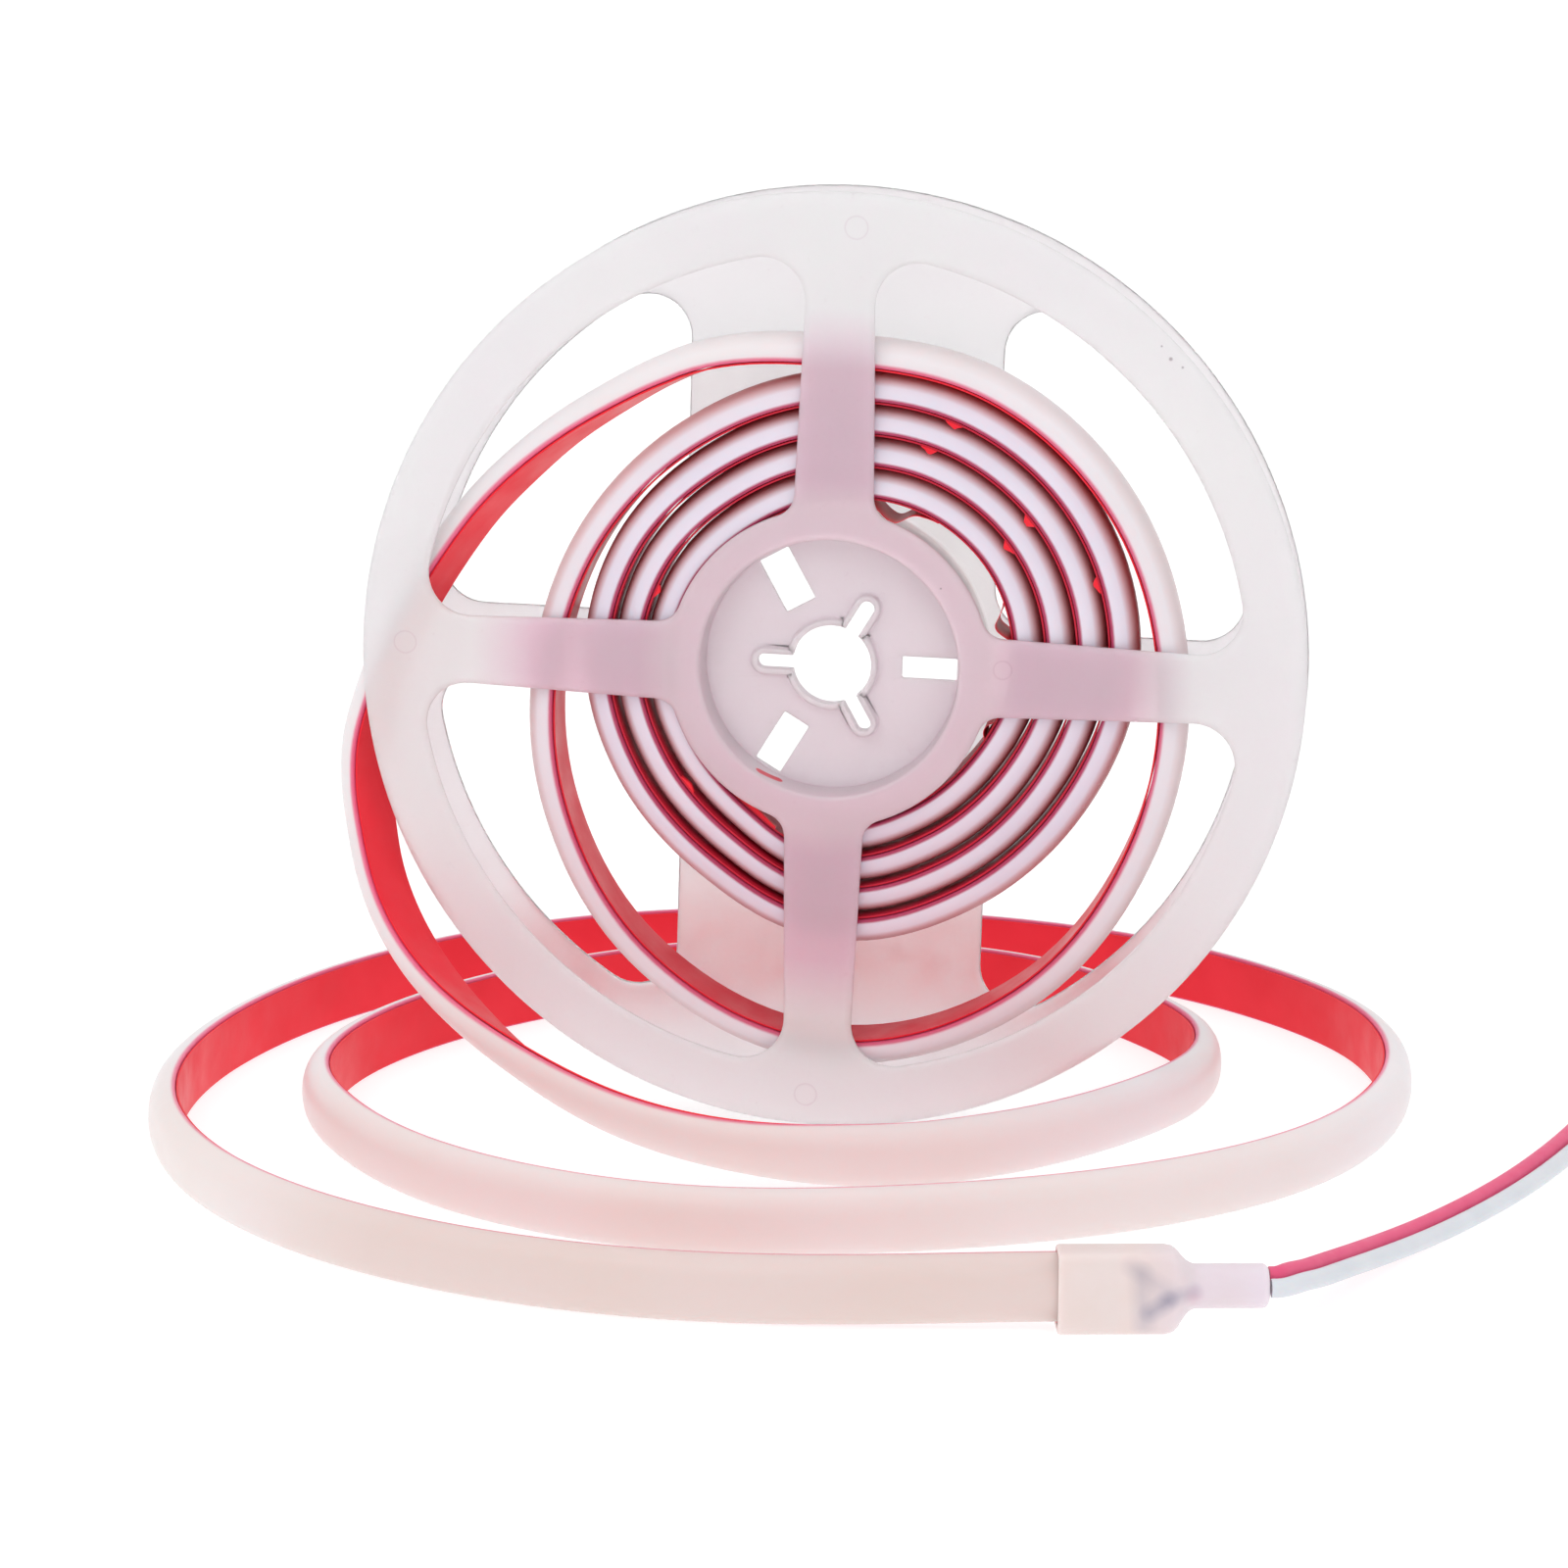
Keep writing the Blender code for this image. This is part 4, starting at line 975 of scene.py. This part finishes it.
def hole_rings(bm, outline, shape, face, other, way):
    """Rings down a hole's edge between two faces: rounded at the first, nearly sharp at the second."""
    if signed_area(outline) < 0:
        outline = outline[::-1]
    rings = [ring_of(bm, moved_out(outline, inset * MM), face + way * depth * MM) for inset, depth in shape]
    for inset, depth in FAR_ROUND:
        rings.append(ring_of(bm, moved_out(outline, inset * MM), other - way * depth * MM))
    skin(bm, rings)
    return rings[0], rings[-1]


def spun_rings(bm, profile):
    """Skin of circles round the axis, from pairs of radius and depth."""
    rings = [ring_of(bm, circle_outline(radius), depth) for radius, depth in profile]
    skin(bm, rings)
    return rings


def make_reel_front():
    """Front half: flange with rounded windows and the sunk cup with its web, bore and collar."""
    bm = bmesh.new()
    rim = [(REEL_RADIUS - inset * MM, depth * MM) for inset, depth in RIM_ROUND]
    rim += [(REEL_RADIUS, PLATE - 0.15 * MM), (REEL_RADIUS - 0.15 * MM, PLATE)]
    outer = spun_rings(bm, rim)
    fronts = [outer[0]]
    backs = [outer[-1]]
    for outline in front_windows():
        front, back = hole_rings(bm, outline, EDGE_ROUND, 0.0, PLATE, 1)
        fronts.append(front)
        backs.append(back)
    floor = CUP_RADIUS - CUP_SLOPE
    inside = spun_rings(bm, [
        (CUP_RADIUS + 0.9 * MM, 0.0),
        (CUP_RADIUS + 0.45 * MM, 0.06 * MM),
        (CUP_RADIUS + 0.12 * MM, 0.3 * MM),
        (CUP_RADIUS, 0.8 * MM),
        (floor, WEB_DEPTH - 0.3 * MM),
        (floor - 0.04 * MM, WEB_DEPTH - 0.08 * MM),
        (floor - 0.13 * MM, WEB_DEPTH),
    ])
    outside = spun_rings(bm, [
        (CUP_RADIUS + CUP_WALL + 0.4 * MM, PLATE),
        (CUP_RADIUS + CUP_WALL, PLATE + 0.4 * MM),
        (floor + CUP_WALL, WEB_DEPTH + PLATE - 0.3 * MM),
        (floor + CUP_WALL - 0.3 * MM, WEB_DEPTH + PLATE),
    ])
    fronts.append(inside[0])
    backs.append(outside[0])
    flat_between(bm, fronts)
    flat_between(bm, backs)
    web_fronts = [inside[-1]]
    web_backs = [outside[-1]]
    for outline in hub_windows():
        front, back = hole_rings(bm, outline, SMALL_ROUND, WEB_DEPTH, WEB_DEPTH + PLATE, 1)
        web_fronts.append(front)
        web_backs.append(back)
    bore = bore_outline(0.0)
    collar = []
    for grow, depth in (
        (COLLAR_WIDTH + 0.35 * MM, WEB_DEPTH),
        (COLLAR_WIDTH + 0.08 * MM, WEB_DEPTH - 0.2 * MM),
        (COLLAR_WIDTH, WEB_DEPTH - 0.5 * MM),
        (COLLAR_WIDTH - 0.08 * MM, WEB_DEPTH - COLLAR_HEIGHT + 0.25 * MM),
        (COLLAR_WIDTH - 0.35 * MM, WEB_DEPTH - COLLAR_HEIGHT),
        (0.35 * MM, WEB_DEPTH - COLLAR_HEIGHT),
        (0.08 * MM, WEB_DEPTH - COLLAR_HEIGHT + 0.1 * MM),
        (0.0, WEB_DEPTH - COLLAR_HEIGHT + 0.35 * MM),
        (0.0, WEB_DEPTH + PLATE - 0.2 * MM),
        (0.2 * MM, WEB_DEPTH + PLATE),
    ):
        collar.append(ring_of(bm, moved_out(bore, grow), depth))
    skin(bm, collar)
    web_fronts.append(collar[0])
    web_backs.append(collar[-1])
    flat_between(bm, web_fronts)
    flat_between(bm, web_backs)
    return finish_reel("front_half", bm)


def make_reel_back():
    """Rear half: flange with its wide upright panel, and the open drum that the strip is wound on."""
    bm = bmesh.new()
    face = REEL_WIDTH
    inner = REEL_WIDTH - PLATE
    rim = [(REEL_RADIUS - inset * MM, face - depth * MM) for inset, depth in RIM_ROUND]
    rim += [(REEL_RADIUS, inner + 0.15 * MM), (REEL_RADIUS - 0.15 * MM, inner)]
    outer = spun_rings(bm, rim)
    backs = [outer[0]]
    fronts = [outer[-1]]
    for outline in back_windows():
        back, front = hole_rings(bm, outline, EDGE_ROUND, face, inner, -1)
        backs.append(back)
        fronts.append(front)
    top = PLATE + SEAT_GAP
    hole = DRUM_RADIUS - DRUM_WALL
    drum = spun_rings(bm, [
        (DRUM_RADIUS + 0.4 * MM, inner),
        (DRUM_RADIUS, inner - 0.4 * MM),
        (DRUM_RADIUS, top + 0.3 * MM),
        (DRUM_RADIUS - 0.3 * MM, top),
        (hole + 0.3 * MM, top),
        (hole, top + 0.3 * MM),
        (hole, face - 0.6 * MM),
        (hole + 0.15 * MM, face - 0.2 * MM),
        (hole + 0.6 * MM, face),
    ])
    fronts.append(drum[0])
    backs.append(drum[-1])
    flat_between(bm, fronts)
    flat_between(bm, backs)
    return finish_reel("rear_half", bm)


def finish_reel(name, bm):
    """Piece with its shading weighted so that flat faces look flat."""
    obj = add_mesh(name, bm, 50.0)
    weighted = obj.modifiers.new("weighted", "WEIGHTED_NORMAL")
    weighted.keep_sharp = True
    weighted.weight = 80
    return obj


# End cap

CAP_STEPS = 64
SHOULDER_STEPS = 16
NOZZLE_END_START = 1.4 * MM
NOZZLE_END_STEPS = 6


def cap_outline(grow, fullness):
    """Rounded outline round the strip and its tape, grown by a distance, as across and outward places."""
    half = STRIP_WIDTH / 2 + grow
    low = -TAPE_DEPTH - grow
    high = STRIP_THICKNESS + grow
    middle = (low + high) / 2
    depth = (high - low) / 2
    found = []
    for k in range(CAP_STEPS):
        angle = 2 * math.pi * k / CAP_STEPS
        side = math.cos(angle)
        rise = math.sin(angle)
        found.append((
            math.copysign(abs(side) ** (2 / fullness), side) * half,
            middle + math.copysign(abs(rise) ** (2 / fullness), rise) * depth,
        ))
    return found


def make_cap(stations):
    """Moulded cap: rounded socket mouth, flat body, sloping shoulder and round nozzle."""
    end, run, across, outward = strip_end(stations)
    mouth = end - run * (CAP_SOCKET_DEPTH - SEAT_GAP)
    wall = CAP_FIT + CAP_WALL
    body = cap_outline(wall, CAP_FULLNESS)
    angles = [2 * math.pi * k / CAP_STEPS for k in range(CAP_STEPS)]
    circle = [(math.cos(angle), math.sin(angle)) for angle in angles]

    def ring_from(pairs, distance):
        return [mouth + run * distance + across * a + outward * b for a, b in pairs]

    def ring_at(distance, share, radius):
        pairs = []
        for (a, b), (c, s) in zip(body, circle):
            rise = NOZZLE_OFFSET + s * radius
            pairs.append((share * a + (1 - share) * c * radius, share * b + (1 - share) * rise))
        return ring_from(pairs, distance)

    rings = []
    for grow, fullness, distance in (
        (CAP_FIT, SOCKET_FULLNESS, CAP_SOCKET_DEPTH),
        (CAP_FIT, SOCKET_FULLNESS, 0.35 * MM),
        (CAP_FIT + 0.1 * MM, 7.0, 0.1 * MM),
        (CAP_FIT + 0.3 * MM, 6.0, 0.0),
        (wall - 0.35 * MM, 5.5, 0.0),
        (wall - 0.1 * MM, CAP_FULLNESS, 0.15 * MM),
    ):
        rings.append(ring_from(cap_outline(grow, fullness), distance))
    for distance in (0.5 * MM, CAP_BODY_LENGTH * 0.5, CAP_BODY_LENGTH * CAP_STRAIGHT_SHARE):
        rings.append(ring_at(distance, 1.0, NOZZLE_RADIUS))
    for k in range(SHOULDER_STEPS + 1):
        distance = CAP_BODY_LENGTH + CAP_SHOULDER_LENGTH * k / SHOULDER_STEPS
        share = between(CAP_SHOULDER, k * (len(CAP_SHOULDER) - 1) / SHOULDER_STEPS)
        rings.append(ring_at(distance, max(0.0, share), NOZZLE_RADIUS))
    tip = CAP_BODY_LENGTH + CAP_SHOULDER_LENGTH + NOZZLE_LENGTH
    rings.append(ring_at(tip - NOZZLE_END_START, 0.0, NOZZLE_RADIUS))
    for k in range(1, NOZZLE_END_STEPS + 1):
        angle = math.pi / 2 * k / NOZZLE_END_STEPS
        back = NOZZLE_END_ROUND * (1 - math.sin(angle))
        inset = NOZZLE_END_ROUND * (1 - math.cos(angle))
        rings.append(ring_at(tip - back, 0.0, NOZZLE_RADIUS - inset))
    cap = loft("cap_moulding", rings, 50.0)
    return cap, mouth, run, across, outward, mouth + run * tip + outward * NOZZLE_OFFSET


# Stage and lights

FLOOR_REACH = 14.0
FLOOR_SQUARES = 24
FLOOR_HEIGHT = -0.0001
WORLD_STRENGTH = 0.84
LIGHT_TARGET = (0.0, 0.0, 0.06)
# Soft rectangular lights: name, place, width and height, power
LIGHTS = (
    ("key", (-0.35, -0.7, 1.1), (0.9, 0.6), 2.5),
    ("front", (0.1, -1.6, 1.4), (1.2, 0.9), 1.3),
    ("glint", (0.55, -0.75, 0.75), (0.12, 0.12), 0.25),
    ("top", (0.1, 0.1, 1.3), (1.0, 1.0), 1.5),
)


def make_floor():
    """Plain pale floor, just under the object."""
    bm = bmesh.new()
    marks = [FLOOR_REACH * (2 * k / FLOOR_SQUARES - 1) for k in range(FLOOR_SQUARES + 1)]
    grid = [[bm.verts.new((x, y, 0.0)) for y in marks] for x in marks]
    for i in range(FLOOR_SQUARES):
        for j in range(FLOOR_SQUARES):
            bm.faces.new((grid[i][j], grid[i + 1][j], grid[i + 1][j + 1], grid[i][j + 1]))
    floor = add_mesh("floor", bm)
    floor.location = (0.0, 0.0, FLOOR_HEIGHT)
    m = Nodes("floor")
    m.put(Roughness=0.8, Specular_IOR_Level=0.1)
    m.put(Emission_Strength=0.75, Emission_Color=(1.0, 1.0, 1.0, 1.0))
    grey = m.ramp(m.noise(3.0), [(0.3, (0.35, 0.35, 0.35)), (0.7, (0.38, 0.38, 0.38))])
    m.link(grey, m.shader.inputs["Base Color"])
    floor.data.materials.append(m.made)


def add_area(name, place, size, power):
    data = bpy.data.lights.new(name, "AREA")
    data.shape = "RECTANGLE"
    data.size, data.size_y = size
    data.energy = power
    lamp = bpy.data.objects.new(name, data)
    lamp.location = place
    lamp.rotation_euler = (Vector(LIGHT_TARGET) - Vector(place)).to_track_quat("-Z", "Y").to_euler()
    bpy.context.scene.collection.objects.link(lamp)


def make_lights():
    world = bpy.data.worlds.new("studio")
    world.use_nodes = True
    back = world.node_tree.nodes["Background"]
    back.inputs["Color"].default_value = (1.0, 1.0, 1.0, 1.0)
    back.inputs["Strength"].default_value = WORLD_STRENGTH
    bpy.context.scene.world = world
    for name, place, size, power in LIGHTS:
        add_area(name, place, size, power)
    bpy.context.scene.view_settings.view_transform = "Standard"


make_camera()
stations = strip_stations()
cap, mouth, run, across, outward, nozzle_end = make_cap(stations)
red_route, white_route = lead_routes(nozzle_end, run)

red = core_material("core_red", (0.78, 0.075, 0.20), (0.82, 0.10, 0.23))
white = core_material("core_white", (0.66, 0.69, 0.74), (0.72, 0.74, 0.78))
tinned = metal_material()
for name, node, route, paint in (
    ("red_core", "lead_red", red_route, red),
    ("white_core", "lead_white", white_route, white),
):
    core = tube_along(name, route, CORE_DIAMETER / 2)
    finish_piece(core, paint, node.replace("lead", "core"), node)
    end = route[-1]
    onward = route[-1] - route[-2]
    onward /= np.linalg.norm(onward)
    bare = [end + onward * past * MM for past in (-1, 2, 4)]
    stub = tube_along(name + "_end", bare, BARE_WIRE_RADIUS, BARE_WIRE_SIDES)
    finish_piece(stub, tinned, node.replace("lead", "core"))
    placed = route + np.array(ORIGIN)
    steps = np.diff(cubic_through(route, spacing=ROUTE_SPACING), axis=0)
    cubic_through(placed, count=40)


def in_cap(along, aside, out):
    """Place in the end cap: millimetres from its mouth, down across it and out to the front."""
    return tuple(mouth + (run * along + across * aside + outward * out) * MM)


finish_piece(cap, cap_material(in_cap, tuple(run)), "cap", "end_cap")
silicone = silicone_material()
red_film = tape_material()
front_plastic = reel_material("reel_front", FRONT_REEL_PAINTED_SHADE, True, 0.35, 0.0025)
back_plastic = reel_material("reel_back", BACK_REEL_PAINTED_LIGHT, False, 0.75, 0.008)
finish_piece(sweep("light_strip", stations, dome_section(), 50.0), silicone, "silicone", "neon_strip")
finish_piece(sweep("red_tape", stations, tape_section(), 60.0), red_film, "tape", "tape_liner")
finish_piece(make_peels(), red_film, "tape")
finish_piece(make_reel_front(), front_plastic, "reel", "reel_front")
finish_piece(make_reel_back(), back_plastic, "reel", "reel_back")

make_floor()
make_lights()
